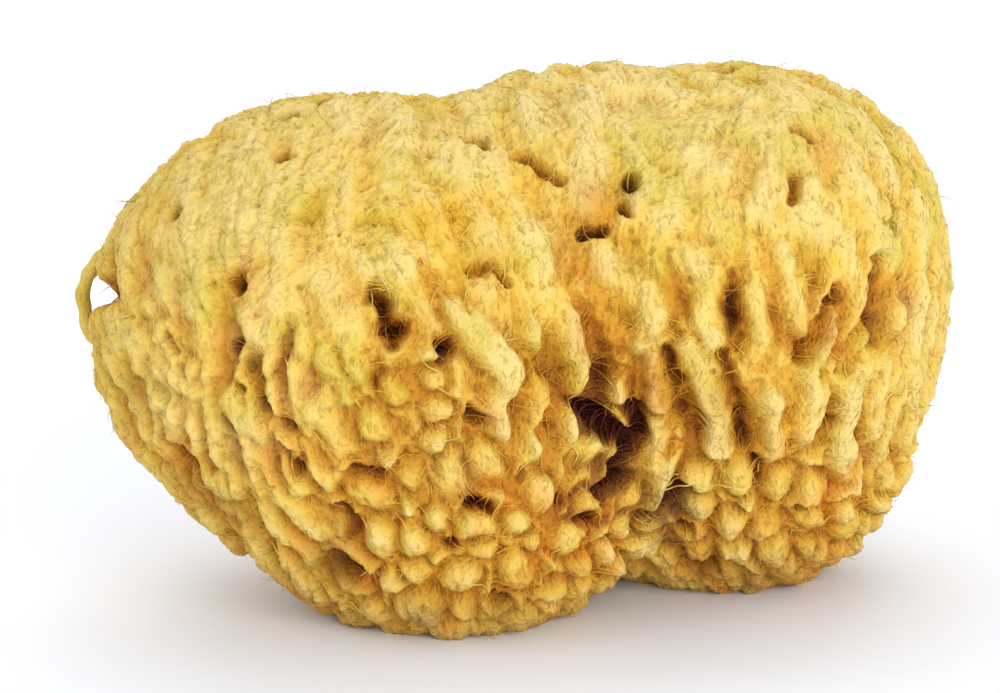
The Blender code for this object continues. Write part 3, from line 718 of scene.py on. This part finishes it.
STRAW_PATCHES = [
    (350, 110, 50, 0.8), (430, 115, 40, 0.6), (560, 95, 50, 0.8), (650, 100, 50, 0.8), (750, 115, 50, 0.6),
    (860, 125, 40, 0.8), (230, 150, 40, 0.8), (700, 165, 45, 0.5), (320, 275, 30, 0.5), (925, 320, 30, 0.6),
    (500, 340, 25, 0.3), (460, 480, 20, 0.4), (630, 270, 18, 0.4), (540, 240, 26, 0.5), (900, 450, 26, 0.4),
    (250, 200, 36, 0.5), (800, 150, 26, 0.4), (430, 160, 30, 0.4), (160, 270, 40, 0.6), (250, 330, 36, 0.5),
    (150, 400, 40, 0.6), (230, 450, 40, 0.5), (300, 400, 26, 0.3),
]
# Painted shade: brown low on the front towards the floor and along the lower left edge, and in mouths and the
# hole pair between the lobes.
BROWN_SHADE_PATCHES = [
    (330, 580, 26, 1.0), (700, 580, 18, 0.9), (270, 590, 26, 0.7), (220, 520, 30, 0.6), (420, 625, 24, 0.6),
    (180, 490, 26, 0.5), (120, 390, 22, 0.35), (500, 630, 26, 0.5), (760, 590, 30, 0.5),
    (345, 540, 20, 0.5), (672, 515, 24, 0.7), (290, 110, 10, 0.6), (172, 205, 10, 0.5),
    (480, 137, 10, 0.6), (630, 185, 12, 0.7), (590, 225, 12, 0.5),
]
# Plum: dark red-brown in the main hole and the hole pair between the lobes, partly their own colour and
# partly painted shade.
PLUM_PATCHES = [
    (600, 425, 22, 1.0), (628, 446, 30, 1.0), (620, 485, 24, 1.0), (590, 513, 24, 1.0), (672, 515, 32, 1.0),
]
PLUM_DEPTHS = (1.3 * MM, 3.6 * MM)      # over which the plum colour sets in
PLUM_HOLE_SHADE = [             # painted shade: the same dark colour where a hole looks dark but the skin isn't deep
    (676, 508, 10, 1.1), (668, 521, 11, 1.2), (656, 538, 9, 0.9), (674, 542, 10, 0.9), (685, 499, 7, 0.8),
    (602, 521, 10, 1.0), (583, 516, 7, 0.7), (558, 520, 5, 0.6), (618, 482, 10, 0.9), (612, 494, 8, 0.9),
    (606, 448, 10, 0.5), (597, 432, 8, 0.6),
]
HOLE_SHADE_NOISE_LENGTH = 2.6 * MM     # of the noise that breaks their edges up
HOLE_SHADE_NOISE_SHARE = 0.75          # of each mark that this noise leaves, more or less


def patch_share(points, patches):
    """Sum of strength exp(-(distance / radius)^2) over round patches on the front, at most 1."""
    share = np.zeros(len(points))
    middles = sight([(x, y) for x, y, _, _ in patches])
    for middle, (_, _, radius, strength) in zip(middles, patches):
        share += strength * np.exp(-((points - middle) ** 2).sum(-1) / (radius * PIXEL) ** 2)
    return np.clip(share, 0.0, 1.0)


def hole_shade_share(points, shade_marks):
    """The same sum by distance in the picture, on the front half, times noise that makes it ragged."""
    offset = points - VIEW_AIM - VIEW_DISTANCE * VIEW_BACK
    scale = -VIEW_DISTANCE / (offset @ VIEW_BACK * PIXEL)
    across = PICTURE_MIDDLE[0] + offset[:, 0] * scale
    down = PICTURE_MIDDLE[1] - offset @ VIEW_UP * scale
    share = np.zeros(len(points))
    for x, y, radius, strength in shade_marks:
        share += strength * np.exp(-((across - x) ** 2 + (down - y) ** 2) / radius ** 2)
    ragged = np.clip(HOLE_SHADE_NOISE_SHARE + waves(points, HOLE_SHADE_NOISE_LENGTH, SEED + 12), 0.0, 1.0)
    return np.clip(share * ragged, 0.0, 1.0) * (points[:, 1] < 0.0)


looks = {"sunk": look_depth}
for label, patches in (("amber", AMBER_PATCHES), ("yellow", YELLOW_PATCHES), ("straw", STRAW_PATCHES),
                       ("brown", BROWN_SHADE_PATCHES), ("plum", PLUM_PATCHES)):
    looks[label] = halved(patch_share(coarse_points, patches))
# Plum where the skin lies deep: painted shade in the holes, besides their own colour.
plum_shade_in_hollows = looks["plum"] * easing(large_depth, *PLUM_DEPTHS)
# Painted shade where holes look dark though the skin there isn't deep
looks["plum"] = np.maximum(plum_shade_in_hollows, hole_shade_share(skin_points, PLUM_HOLE_SHADE))

INSET = 17.0 * MM            # of each wedge's inner ring below the lobes, deeper than any mouth
INSIDE_LOOK = 6.0            # depth in mm that colours what is inside


def wedge(face, skin_normals):
    """One face's grid, closed from its edge straight in to a ring and on to the heart."""
    size = (GRID + 1) ** 2
    span = slice(face * size, (face + 1) * size)
    number = np.arange(size).reshape(GRID + 1, GRID + 1)
    rim = np.concatenate([number[:-1, 0], number[-1, :-1], number[:0:-1, -1], number[0, :0:-1]])
    ring = size + np.arange(len(rim))
    heart = np.full(len(rim), size + len(rim))
    after, ring_after = np.roll(rim, -1), np.roll(ring, -1)
    faces = np.concatenate([
        grid_triangles(), np.stack([after, rim, ring], -1), np.stack([after, ring, ring_after], -1),
        np.stack([ring_after, ring, heart], -1),
    ])
    inner = (lobe_points - INSET * lobe_normals)[span][rim]
    points = np.concatenate([skin_points[span], inner, HEART[None]])
    directions = np.concatenate([skin_normals[span], skin_normals[span][rim], [[0.0, 0.0, 1.0]]])
    attributes = {label: np.append(values[span], np.full(len(rim) + 1, INSIDE_LOOK * (label == "sunk")))
                  for label, values in looks.items()}
    return make_object(f"skin_{FACE_NAMES[face]}", points, faces, attributes, directions)


def linear(hex_colour):
    """Linear RGBA from an sRGB hex value."""
    parts = np.array([int(hex_colour[place:place + 2], 16) for place in (1, 3, 5)]) / 255.0
    light = np.where(parts <= 0.04045, parts / 12.92, ((parts + 0.055) / 1.055) ** 2.4)
    return (*light, 1.0)


def add(tree, kind, settings=None, inputs=None):
    """Adds a node: its properties from settings, its sockets by name or number, each a value or an output."""
    made = tree.nodes.new(kind)
    for name, value in (settings or {}).items():
        setattr(made, name, value)
    for name, value in (inputs or {}).items():
        if isinstance(value, bpy.types.NodeSocket):
            tree.links.new(value, made.inputs[name])
        else:
            made.inputs[name].default_value = value
    return made


# The skin is darker the deeper a place lies: partly its own colour, partly painted shade in grooves, mouths
# and pores.
DEPTH_COLOURS = [            # of the skin from its crests down: depth in mm, colour
    (0.0, "#E0C77C"), (1.2, "#DDBC58"), (2.4, "#D2A23A"), (3.6, "#C08428"), (6.5, "#8A4C1A"),
    (11.0, "#5A2420"),
]
CREST_DEPTH = 1.0            # depth in mm, with all unevenness added, at which these colours start
PATCH_PAINTS = {             # colour, and the share of it that covers the skin's own
    "straw": ("#E2D298", 0.4875), "yellow": ("#DDAE2A", 0.5525), "amber": ("#C6821F", 0.75),
    "brown": ("#704412", 0.75), "plum": ("#561E24", 0.6175),
}
DARK_PAINTS = ("amber", "brown")        # where these would lighten the skin, DARK_HOLD of that is taken back
DARK_HOLD = 0.35
TINTS = [                    # colour, the span of the noise and the heights over which it sets in
    ("#F1F4D2", (0.50, 0.62), (20.0 * MM, 45.0 * MM)),
    ("#FBE4CC", (0.48, 0.36), (46.0 * MM, 24.0 * MM)),
]
TINT_SIZE = 9.0 * MM         # of the patches they come in
FOOT_SHADE = "#D9BC90"        # painted shade: browner and darker towards the floor, FOOT_SHARE of it at the cut
FOOT_HEIGHT = 16.0 * MM
FOOT_SHARE = 0.7
SPECKLE = (1.6 * MM, 1.3)    # size of the speckles, and what they add to the depth, in mm
HOLLOW = (1.1 * MM, 0.6)     # the same for the hollows of the felt's mesh, whose added depth is painted shade
HOLLOW_EDGE = 0.35           # share of a hollow over which it rises from its edge
FELT_GRAIN = 0.5 * MM
BUMP_STRENGTH = 0.5
BUMP_HEIGHT = 0.4 * MM
MIX_COLOURS = {"data_type": "RGBA", "blend_type": "MIX"}
DARKEN_COLOURS = {"data_type": "RGBA", "blend_type": "DARKEN"}
MULTIPLY_COLOURS = {"data_type": "RGBA", "blend_type": "MULTIPLY"}


def spongin(name, lift):
    """Dried spongin: pale straw on the crests, amber and brown down in the gaps.

    It is dull and fibrous, so it is rough all over, and its colour goes by how deep a place lies: darker
    deeper down, partly its own colour and partly painted shade, as in the hollows of its felt. Painted
    shade also darkens it towards the floor. A lift in mm makes it paler, as loose fibres are.
    """
    material = bpy.data.materials.new(name)
    material.use_nodes = True
    tree = material.node_tree
    shader = tree.nodes["Principled BSDF"]
    coordinates = add(tree, "ShaderNodeTexCoord").outputs["Object"]
    depth = add(tree, "ShaderNodeAttribute", {"attribute_name": "sunk"}).outputs["Fac"]
    speckle = add(tree, "ShaderNodeTexNoise", inputs={
        "Vector": coordinates, "Scale": 1.0 / SPECKLE[0], "Detail": 3.0, "Roughness": 0.6,
    }).outputs["Fac"]
    web = add(tree, "ShaderNodeTexVoronoi", {"feature": "DISTANCE_TO_EDGE"}, {
        "Vector": coordinates, "Scale": 1.0 / HOLLOW[0],
    }).outputs["Distance"]
    hollow = add(tree, "ShaderNodeMapRange", inputs={
        "Value": web, "From Min": 0.0, "From Max": HOLLOW_EDGE,
    }).outputs["Result"]
    # Speckles vary the tone at random; the hollows add painted shade.
    for value, strength in ((speckle, SPECKLE[1]), (hollow, HOLLOW[1])):
        depth = add(tree, "ShaderNodeMath", {"operation": "MULTIPLY_ADD"}, {
            0: value, 1: strength, 2: depth,
        }).outputs[0]
    deepest = DEPTH_COLOURS[-1][0]
    start = CREST_DEPTH + lift
    place = add(tree, "ShaderNodeMapRange", inputs={
        "Value": depth, "From Min": start, "From Max": start + deepest,
    }).outputs["Result"]
    ramp = add(tree, "ShaderNodeValToRGB", inputs={"Fac": place})
    elements = ramp.color_ramp.elements
    for stop, _ in DEPTH_COLOURS[1:-1]:
        elements.new(stop / deepest)
    for element, (stop, colour) in zip(elements, DEPTH_COLOURS):
        element.position = stop / deepest
        element.color = linear(colour)
    colour = ramp.outputs["Color"]
    for label, (paint, cover) in PATCH_PAINTS.items():
        share = add(tree, "ShaderNodeAttribute", {"attribute_name": label}).outputs["Fac"]
        share = add(tree, "ShaderNodeMath", {"operation": "MULTIPLY"}, {0: share, 1: cover}).outputs[0]
        painted = add(tree, "ShaderNodeMix", MIX_COLOURS, {0: share, 6: colour, 7: linear(paint)}).outputs[2]
        if label in DARK_PAINTS:
            painted = add(tree, "ShaderNodeMix", DARKEN_COLOURS, {
                0: DARK_HOLD, 6: painted, 7: colour,
            }).outputs[2]
        colour = painted
    patches = add(tree, "ShaderNodeTexNoise", inputs={
        "Vector": coordinates, "Scale": 1.0 / TINT_SIZE, "Detail": 2.0, "Roughness": 0.5,
    }).outputs["Fac"]
    height = add(tree, "ShaderNodeSeparateXYZ", inputs={"Vector": coordinates}).outputs["Z"]
    for tint, span, heights in TINTS:
        share = add(tree, "ShaderNodeMapRange", inputs={
            "Value": patches, "From Min": span[0], "From Max": span[1],
        }).outputs["Result"]
        share = add(tree, "ShaderNodeMapRange", inputs={
            "Value": height, "From Min": heights[0], "From Max": heights[1], "To Max": share,
        }).outputs["Result"]
        colour = add(tree, "ShaderNodeMix", MULTIPLY_COLOURS, {
            0: share, 6: colour, 7: linear(tint),
        }).outputs[2]
    # Painted shade towards the floor
    share = add(tree, "ShaderNodeMapRange", inputs={
        "Value": height, "From Min": FOOT_HEIGHT, "From Max": 0.0, "To Max": FOOT_SHARE,
    }).outputs["Result"]
    colour = add(tree, "ShaderNodeMix", MULTIPLY_COLOURS, {
        0: share, 6: colour, 7: linear(FOOT_SHADE),
    }).outputs[2]
    tree.links.new(colour, shader.inputs["Base Color"])
    shader.inputs["Roughness"].default_value = 0.85
    shader.inputs["Specular IOR Level"].default_value = 0.2
    felt = add(tree, "ShaderNodeTexNoise", inputs={
        "Vector": coordinates, "Scale": 1.0 / FELT_GRAIN, "Detail": 4.0, "Roughness": 0.6,
    }).outputs["Fac"]
    rough = add(tree, "ShaderNodeMath", {"operation": "SUBTRACT"}, {0: felt, 1: hollow}).outputs[0]
    bump = add(tree, "ShaderNodeBump", inputs={
        "Height": rough, "Strength": BUMP_STRENGTH, "Distance": BUMP_HEIGHT,
    }).outputs["Normal"]
    tree.links.new(bump, shader.inputs["Normal"])
    return material


SKIN_LIFT = 0.2
skin_material = spongin("felted spongin", SKIN_LIFT)
skin_normals = grid_normals(skin_points)
for face in range(6):
    skin = wedge(face, skin_normals)
    skin.data.materials.append(skin_material)
    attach(skin, "root")
    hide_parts("sponge")

# The strand over the rim gap
# One strand of the same fibre stands free at the left rim, rooted in the skin above and below a gap
# that shows light through. It is a thin felted cord of uneven width.
BRIDGE_PLACES = [(-0.45, 0.0, 0.72), (-0.47, 0.0, 0.66), (-0.49, 0.0, 0.62), (-0.50, 0.0, 0.58),
                 (-0.49, 0.0, 0.54), (-0.49, 0.0, 0.49), (-0.48, 0.0, 0.43)]
BRIDGE_RISE = np.array([-7.0, -1.2, 0.4, 0.9, 0.4, -1.2, -7.0]) * MM
BRIDGE_RADIUS = 1.15 * MM
BRIDGE_UNEVENNESS = 0.22     # of its radius, as a share, in waves BRIDGE_WAVE long
BRIDGE_WAVE = 3.0 * MM
BRIDGE_READ = 1.0 * MM       # distance from its middle line at which these are read
BRIDGE_LOOK = 1.2            # depth in mm that colours it
BRIDGE_RINGS = 60
BRIDGE_SIDES = 14


def smooth_path(points, count):
    """A Catmull-Rom curve through the points, read at count even steps of its parameter."""
    ends = np.concatenate([[2.0 * points[0] - points[1]], points, [2.0 * points[-1] - points[-2]]])
    place = np.linspace(0.0, len(points) - 1.0, count)
    start = np.minimum(place.astype(int), len(points) - 2)
    t = (place - start)[:, None]
    a, b, c, d = (ends[start + step] for step in range(4))
    return 0.5 * (2.0 * b + (c - a) * t + (2.0 * a - 5.0 * b + 4.0 * c - d) * t ** 2
                  + (3.0 * b - a - 3.0 * c + d) * t ** 3)


def fibre_walls(centre, radius, outward, sides):
    """Rings of points round each fibre's middle line, square to it, and triangles for walls and ends.

    A radius is given for each ring, or for each point of it. The triangles face outwards.
    """
    count, rings = radius.shape[:2]
    run = np.gradient(centre, axis=1)
    run /= np.maximum(np.linalg.norm(run, axis=-1, keepdims=True), 1e-12)
    side = np.cross(run, outward)
    side /= np.maximum(np.linalg.norm(side, axis=-1, keepdims=True), 1e-12)
    top = np.cross(side, run)
    turn = np.arange(sides) * 2.0 * math.pi / sides
    around = np.cos(turn)[:, None] * side[..., None, :] + np.sin(turn)[:, None] * top[..., None, :]
    points = centre[..., None, :] + radius.reshape(count, rings, -1, 1) * around
    ring, spoke = np.meshgrid(np.arange(rings - 1), np.arange(sides), indexing="ij")
    a, b = (ring * sides + spoke).ravel(), (ring * sides + (spoke + 1) % sides).ravel()
    last = (rings - 1) * sides
    fan = np.arange(1, sides - 1)
    faces = np.concatenate([
        np.stack([b, a, b + sides], -1), np.stack([b + sides, a, a + sides], -1),
        np.stack([0 * fan, fan, fan + 1], -1), np.stack([0 * fan + last, fan + last + 1, fan + last], -1),
    ])
    starts = np.arange(count) * rings * sides
    return points.reshape(-1, 3), (starts[:, None, None] + faces[None]).reshape(-1, 3)


bridge_points = rim_places(BRIDGE_PLACES)
bridge_points = bridge_points + normals(bridge_points) * BRIDGE_RISE[:, None]
bridge_centres = smooth_path(bridge_points, BRIDGE_RINGS)
bridge_turn = np.arange(BRIDGE_SIDES) * TURN / BRIDGE_SIDES
bridge_circle = np.stack([np.cos(bridge_turn), np.sin(bridge_turn), np.zeros(BRIDGE_SIDES)], -1)
bridge_noise = waves(bridge_centres[:, None] + BRIDGE_READ * bridge_circle, BRIDGE_WAVE, SEED + 20)
bridge_radii = BRIDGE_RADIUS * (1.0 + BRIDGE_UNEVENNESS * bridge_noise)
bridge_points, bridge_faces = fibre_walls(
    bridge_centres[None], bridge_radii[None], np.array([0.0, -1.0, 0.0]), BRIDGE_SIDES)
bridge = make_object("rim_strand", bridge_points, bridge_faces, {
    "sunk": np.full(len(bridge_points), BRIDGE_LOOK),
})
bridge.data.materials.append(skin_material)
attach(bridge, "root")

# The felt, the web and the strays
# Spongin fibres cover the skin. Most lie along the grain as a fine felt, some cross the grooves and
# mouths as a coarser web, and a few stand out with a free end.
FELT = {                     # all but the counts in metres or shares
    "count": 9900, "lengths": (1.4 * MM, 3.4 * MM), "rise": (0.05 * MM, 0.40 * MM), "taut": (0.0, 0.5),
    "radii": (0.05 * MM, 0.08 * MM),     # thicker than most real ones, so that they show at this size
    "spread": 0.35, "loose": 0.25, "hollow": 0.0, "steps": 3, "sides": 3,
}
FELT_PIECES = 3
WEB = {
    "count": 2600, "lengths": (2.0 * MM, 5.0 * MM), "rise": (-0.2 * MM, 0.25 * MM), "taut": (0.3, 0.8),
    "radii": (0.09 * MM, 0.17 * MM), "spread": 0.5, "loose": 0.75, "hollow": 1.0, "steps": 6, "sides": 5,
}
STRAYS = {
    "count": 1300, "lengths": (1.2 * MM, 3.2 * MM), "radii": (0.07 * MM, 0.14 * MM), "steps": 5, "sides": 4,
}
ROOT_DEPTH = 0.12 * MM       # how deep a fibre's ends lie in the skin
STRAY_ROOT_DEPTH = 0.36 * MM
FIBRE_CURL = 0.35            # spread of their sideways curl, as a share of their length
FIBRE_THINNING = 0.35        # of their radius towards their ends, and of the strays' towards their tip
STRAY_THINNING = 0.75
STRAY_LEANS = (0.3, 1.6)     # how far the strays bend over
STRAY_DROOP = 0.35
STRAY_DRIFT = 0.8
FLOOR_GAP = 0.3 * MM         # by which every fibre stays above the cut
WEB_START = 1.5              # depth in mm at which the web begins, and over how many more it grows denser
WEB_DENSEST = 6.0
FIBRE_LIFT = 0.9             # how much paler the fibres are than the skin, in mm of depth

grid_shape = (6, GRID + 1, GRID + 1)
skin_grid = skin_points.reshape(*grid_shape, 3)
lobe_grid = lobe_points.reshape(*grid_shape, 3)
normal_grid = lobe_normals.reshape(*grid_shape, 3)
grain_grid = lobe_grain.reshape(*grid_shape, 3)
look_grids = {label: values.reshape(grid_shape) for label, values in looks.items()}


def read_grid(values, face, u, v):
    """Values read between the points of a face's grid, in proportion."""
    i = np.clip(u.astype(int), 0, GRID - 1)
    j = np.clip(v.astype(int), 0, GRID - 1)
    s, t = u - i, v - j
    if values.ndim == 4:
        s, t = s[..., None], t[..., None]
    low = values[face, i, j] * (1.0 - s) + values[face, i + 1, j] * s
    high = values[face, i, j + 1] * (1.0 - s) + values[face, i + 1, j + 1] * s
    return low * (1.0 - t) + high * t


def scatter_on_skin(count, hollow, rng):
    """Seeded places on the skin above the cut: a grid square by its area, then a place in it.

    With hollow at 1, a square also counts by how many mm it lies deeper than WEB_START.
    """
    across = skin_grid[:, 1:, :-1] - skin_grid[:, :-1, :-1]
    along = skin_grid[:, :-1, 1:] - skin_grid[:, :-1, :-1]
    area = np.linalg.norm(np.cross(across, along), axis=-1)
    beyond = np.clip(look_grids["sunk"][:, :-1, :-1] - WEB_START, 0.0, WEB_DENSEST)
    area = area * ((1.0 - hollow) + hollow * beyond)
    area = np.where(skin_grid[:, :-1, :-1, 2] > CUT_HEIGHT + 0.5 * MM, area, 0.0).ravel()
    square = np.searchsorted(np.cumsum(area) / area.sum(), rng.random(count))
    face, rest = np.divmod(square, GRID * GRID)
    u, v = np.divmod(rest, GRID)
    return face, u + rng.random(count), v + rng.random(count)


def heading(face, u, v, angle):
    """Grid steps per metre of a direction turned by angle from the grain, in the lobe surface."""
    i = np.clip(u.astype(int), 0, GRID - 1)
    j = np.clip(v.astype(int), 0, GRID - 1)
    across = lobe_grid[face, i + 1, j] - lobe_grid[face, i, j]
    along = lobe_grid[face, i, j + 1] - lobe_grid[face, i, j]
    grain_here = grain_grid[face, i, j]
    side = np.cross(normal_grid[face, i, j], grain_here)
    wanted = np.cos(angle)[:, None] * grain_here + np.sin(angle)[:, None] * side
    aa, ab, bb = (across * across).sum(-1), (across * along).sum(-1), (along * along).sum(-1)
    wa, wb = (wanted * across).sum(-1), (wanted * along).sum(-1)
    size = aa * bb - ab ** 2
    return (wa * bb - wb * ab) / size, (wb * aa - wa * ab) / size


def rooted_fibres(kind, seed):
    """Arched fibres with both ends in the skin: the skin below them, mixed with the straight chord.

    x runs from -1 to 1 along a fibre, which rises (1 - x^2) outwards in its middle and curls sideways.
    """
    rng = np.random.default_rng(seed)
    count, steps, sides = kind["count"], kind["steps"], kind["sides"]
    face, u, v = scatter_on_skin(count, kind["hollow"], rng)
    loose = rng.random(count) < kind["loose"]
    angle = np.where(loose, rng.uniform(-math.pi, math.pi, count), rng.normal(0.0, kind["spread"], count))
    du, dv = heading(face, u, v, angle)
    length = rng.uniform(*kind["lengths"], count)
    curl = rng.normal(0.0, FIBRE_CURL, count)
    x = np.linspace(-1.0, 1.0, steps + 1)[None, :]
    reach = (length / 2.0)[:, None] * x
    sideways = (length * curl / 2.0)[:, None] * (x ** 2 - 1.0)
    path_u = np.clip(u[:, None] + du[:, None] * reach - dv[:, None] * sideways, 0.0, GRID - 1e-3)
    path_v = np.clip(v[:, None] + dv[:, None] * reach + du[:, None] * sideways, 0.0, GRID - 1e-3)
    faces = np.repeat(face[:, None], steps + 1, 1)
    on_skin = read_grid(skin_grid, faces, path_u, path_v)
    outward = read_grid(normal_grid, faces, path_u, path_v)
    share = (x[..., None] + 1.0) / 2.0
    chord = on_skin[:, :1] * (1.0 - share) + on_skin[:, -1:] * share
    taut = rng.uniform(*kind["taut"], count)[:, None, None]
    rise = rng.uniform(*kind["rise"], count)[:, None, None]
    lifted = rise * (1.0 - x[..., None] ** 2) - ROOT_DEPTH
    centre = on_skin * (1.0 - taut) + chord * taut + outward * lifted
    centre[..., 2] = np.maximum(centre[..., 2], CUT_HEIGHT + FLOOR_GAP)
    radius = rng.uniform(*kind["radii"], count)[:, None] * (1.0 - FIBRE_THINNING * x ** 2)
    points, triangles = fibre_walls(centre, radius, outward, sides)
    fibre_looks = {}
    for label, grid in look_grids.items():
        fibre_looks[label] = np.repeat(read_grid(grid, faces, path_u, path_v).ravel(), sides)
    return points, triangles, fibre_looks


def stray_fibres(kind, seed):
    """Fibres with one end in the skin and a free thin tip: root + length (n (t - d k t^2) + e k s t^2).

    t runs from 0 to 1 along a fibre, n points outwards, s is its own sideways direction and k its lean,
    with d = STRAY_DROOP and e = STRAY_DRIFT.
    """
    rng = np.random.default_rng(seed)
    count, steps, sides = kind["count"], kind["steps"], kind["sides"]
    face, u, v = scatter_on_skin(count, 0.0, rng)
    root = read_grid(skin_grid, face, u, v)
    outward = read_grid(normal_grid, face, u, v)
    along = read_grid(grain_grid, face, u, v)
    turn = rng.uniform(-math.pi, math.pi, count)[:, None]
    side = np.cos(turn) * along + np.sin(turn) * np.cross(outward, along)
    lean = rng.uniform(*STRAY_LEANS, count)[:, None, None]
    length = rng.uniform(*kind["lengths"], count)[:, None, None]
    t = np.linspace(0.0, 1.0, steps + 1)[None, :, None]
    outward, side = outward[:, None], side[:, None]
    rise = outward * (t - STRAY_DROOP * lean * t ** 2)
    centre = root[:, None] + length * (rise + side * lean * t ** 2 * STRAY_DRIFT)
    centre = centre - outward * STRAY_ROOT_DEPTH
    centre[..., 2] = np.maximum(centre[..., 2], CUT_HEIGHT + FLOOR_GAP)
    radius = rng.uniform(*kind["radii"], count)[:, None] * (1.0 - STRAY_THINNING * t[..., 0])
    points, triangles = fibre_walls(centre, radius, np.broadcast_to(side, centre.shape), sides)
    fibre_looks = {}
    for label, grid in look_grids.items():
        fibre_looks[label] = np.repeat(read_grid(grid, face, u, v), (steps + 1) * sides)
    return points, triangles, fibre_looks


felt_material = spongin("loose spongin fibre", FIBRE_LIFT)
bunches = {f"felt_{number + 1}": rooted_fibres(FELT, SEED + 100 + number) for number in range(FELT_PIECES)}
bunches["web"] = rooted_fibres(WEB, SEED + 110)
bunches["strays"] = stray_fibres(STRAYS, SEED + 120)
for name, (points, triangles, fibre_looks) in bunches.items():
    piece = make_object(name, points, triangles, fibre_looks)
    piece.data.materials.append(felt_material)
    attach(piece, "root")

# The floor and the light
# A plain white table that runs out of sight, lit by soft light from behind, which draws the shadow to the
# front, and by two weaker lamps: one low in front, one to the left.
FLOOR_HALF = 3.0
FLOOR_PAINT = "#EFF3FB"
DAYLIGHT = 0.80              # strength of the white surround
LAMPS = [                    # name, place, what it is turned to, side of its square, watts
    ("back light", (0.0, 1.10, 1.10), (0.0, 0.40, 0.0), 1.60, 11.0),
    ("front light", (0.38, -0.85, 0.20), (0.0, 0.0, 0.04), 0.80, 8.5),
    ("left light", (-0.85, -0.15, 0.40), (0.0, 0.0, 0.04), 0.60, 1.2),
]
floor_mesh = bpy.data.meshes.new("floor")
floor_mesh.from_pydata([(-FLOOR_HALF, -FLOOR_HALF, 0.0), (FLOOR_HALF, -FLOOR_HALF, 0.0),
                        (FLOOR_HALF, FLOOR_HALF, 0.0), (-FLOOR_HALF, FLOOR_HALF, 0.0)], [], [(0, 1, 2, 3)])
floor = bpy.data.objects.new("floor", floor_mesh)
bpy.context.scene.collection.objects.link(floor)
floor_paint = bpy.data.materials.new("matt white table")
floor_paint.use_nodes = True
floor_shader = floor_paint.node_tree.nodes["Principled BSDF"]
floor_shader.inputs["Base Color"].default_value = linear(FLOOR_PAINT)
floor_shader.inputs["Roughness"].default_value = 0.9
floor_shader.inputs["Specular IOR Level"].default_value = 0.1
floor_mesh.materials.append(floor_paint)

world = bpy.data.worlds.new("white surround")
world.use_nodes = True
world.node_tree.nodes["Background"].inputs["Color"].default_value = (1.0, 1.0, 1.0, 1.0)
world.node_tree.nodes["Background"].inputs["Strength"].default_value = DAYLIGHT
bpy.context.scene.world = world

for name, place, aimed_at, side, watts in LAMPS:
    lamp = bpy.data.lights.new(name, "AREA")
    lamp.shape = "SQUARE"
    lamp.size = side
    lamp.energy = watts
    lamp_object = bpy.data.objects.new(name, lamp)
    lamp_object.location = place
    lamp_object.rotation_mode = "QUATERNION"
    lamp_object.rotation_quaternion = (Vector(aimed_at) - lamp_object.location).to_track_quat("-Z", "Y")
    bpy.context.scene.collection.objects.link(lamp_object)

# The camera
# It looks at the front from a little above, so that the front fills the picture as the layout says.
SENSOR = 36.0
camera_data = bpy.data.cameras.new("camera")
camera_data.sensor_width = SENSOR
camera_data.lens = SENSOR * VIEW_DISTANCE / (PICTURE_WIDTH * PIXEL)
camera = bpy.data.objects.new("camera", camera_data)
camera.location = VIEW_AIM + VIEW_DISTANCE * VIEW_BACK + SHIFT
camera.rotation_euler = (math.pi / 2.0 - VIEW_TILT, 0.0, 0.0)
bpy.context.scene.collection.objects.link(camera)
bpy.context.scene.camera = camera
bpy.context.scene.view_settings.view_transform = "Standard"
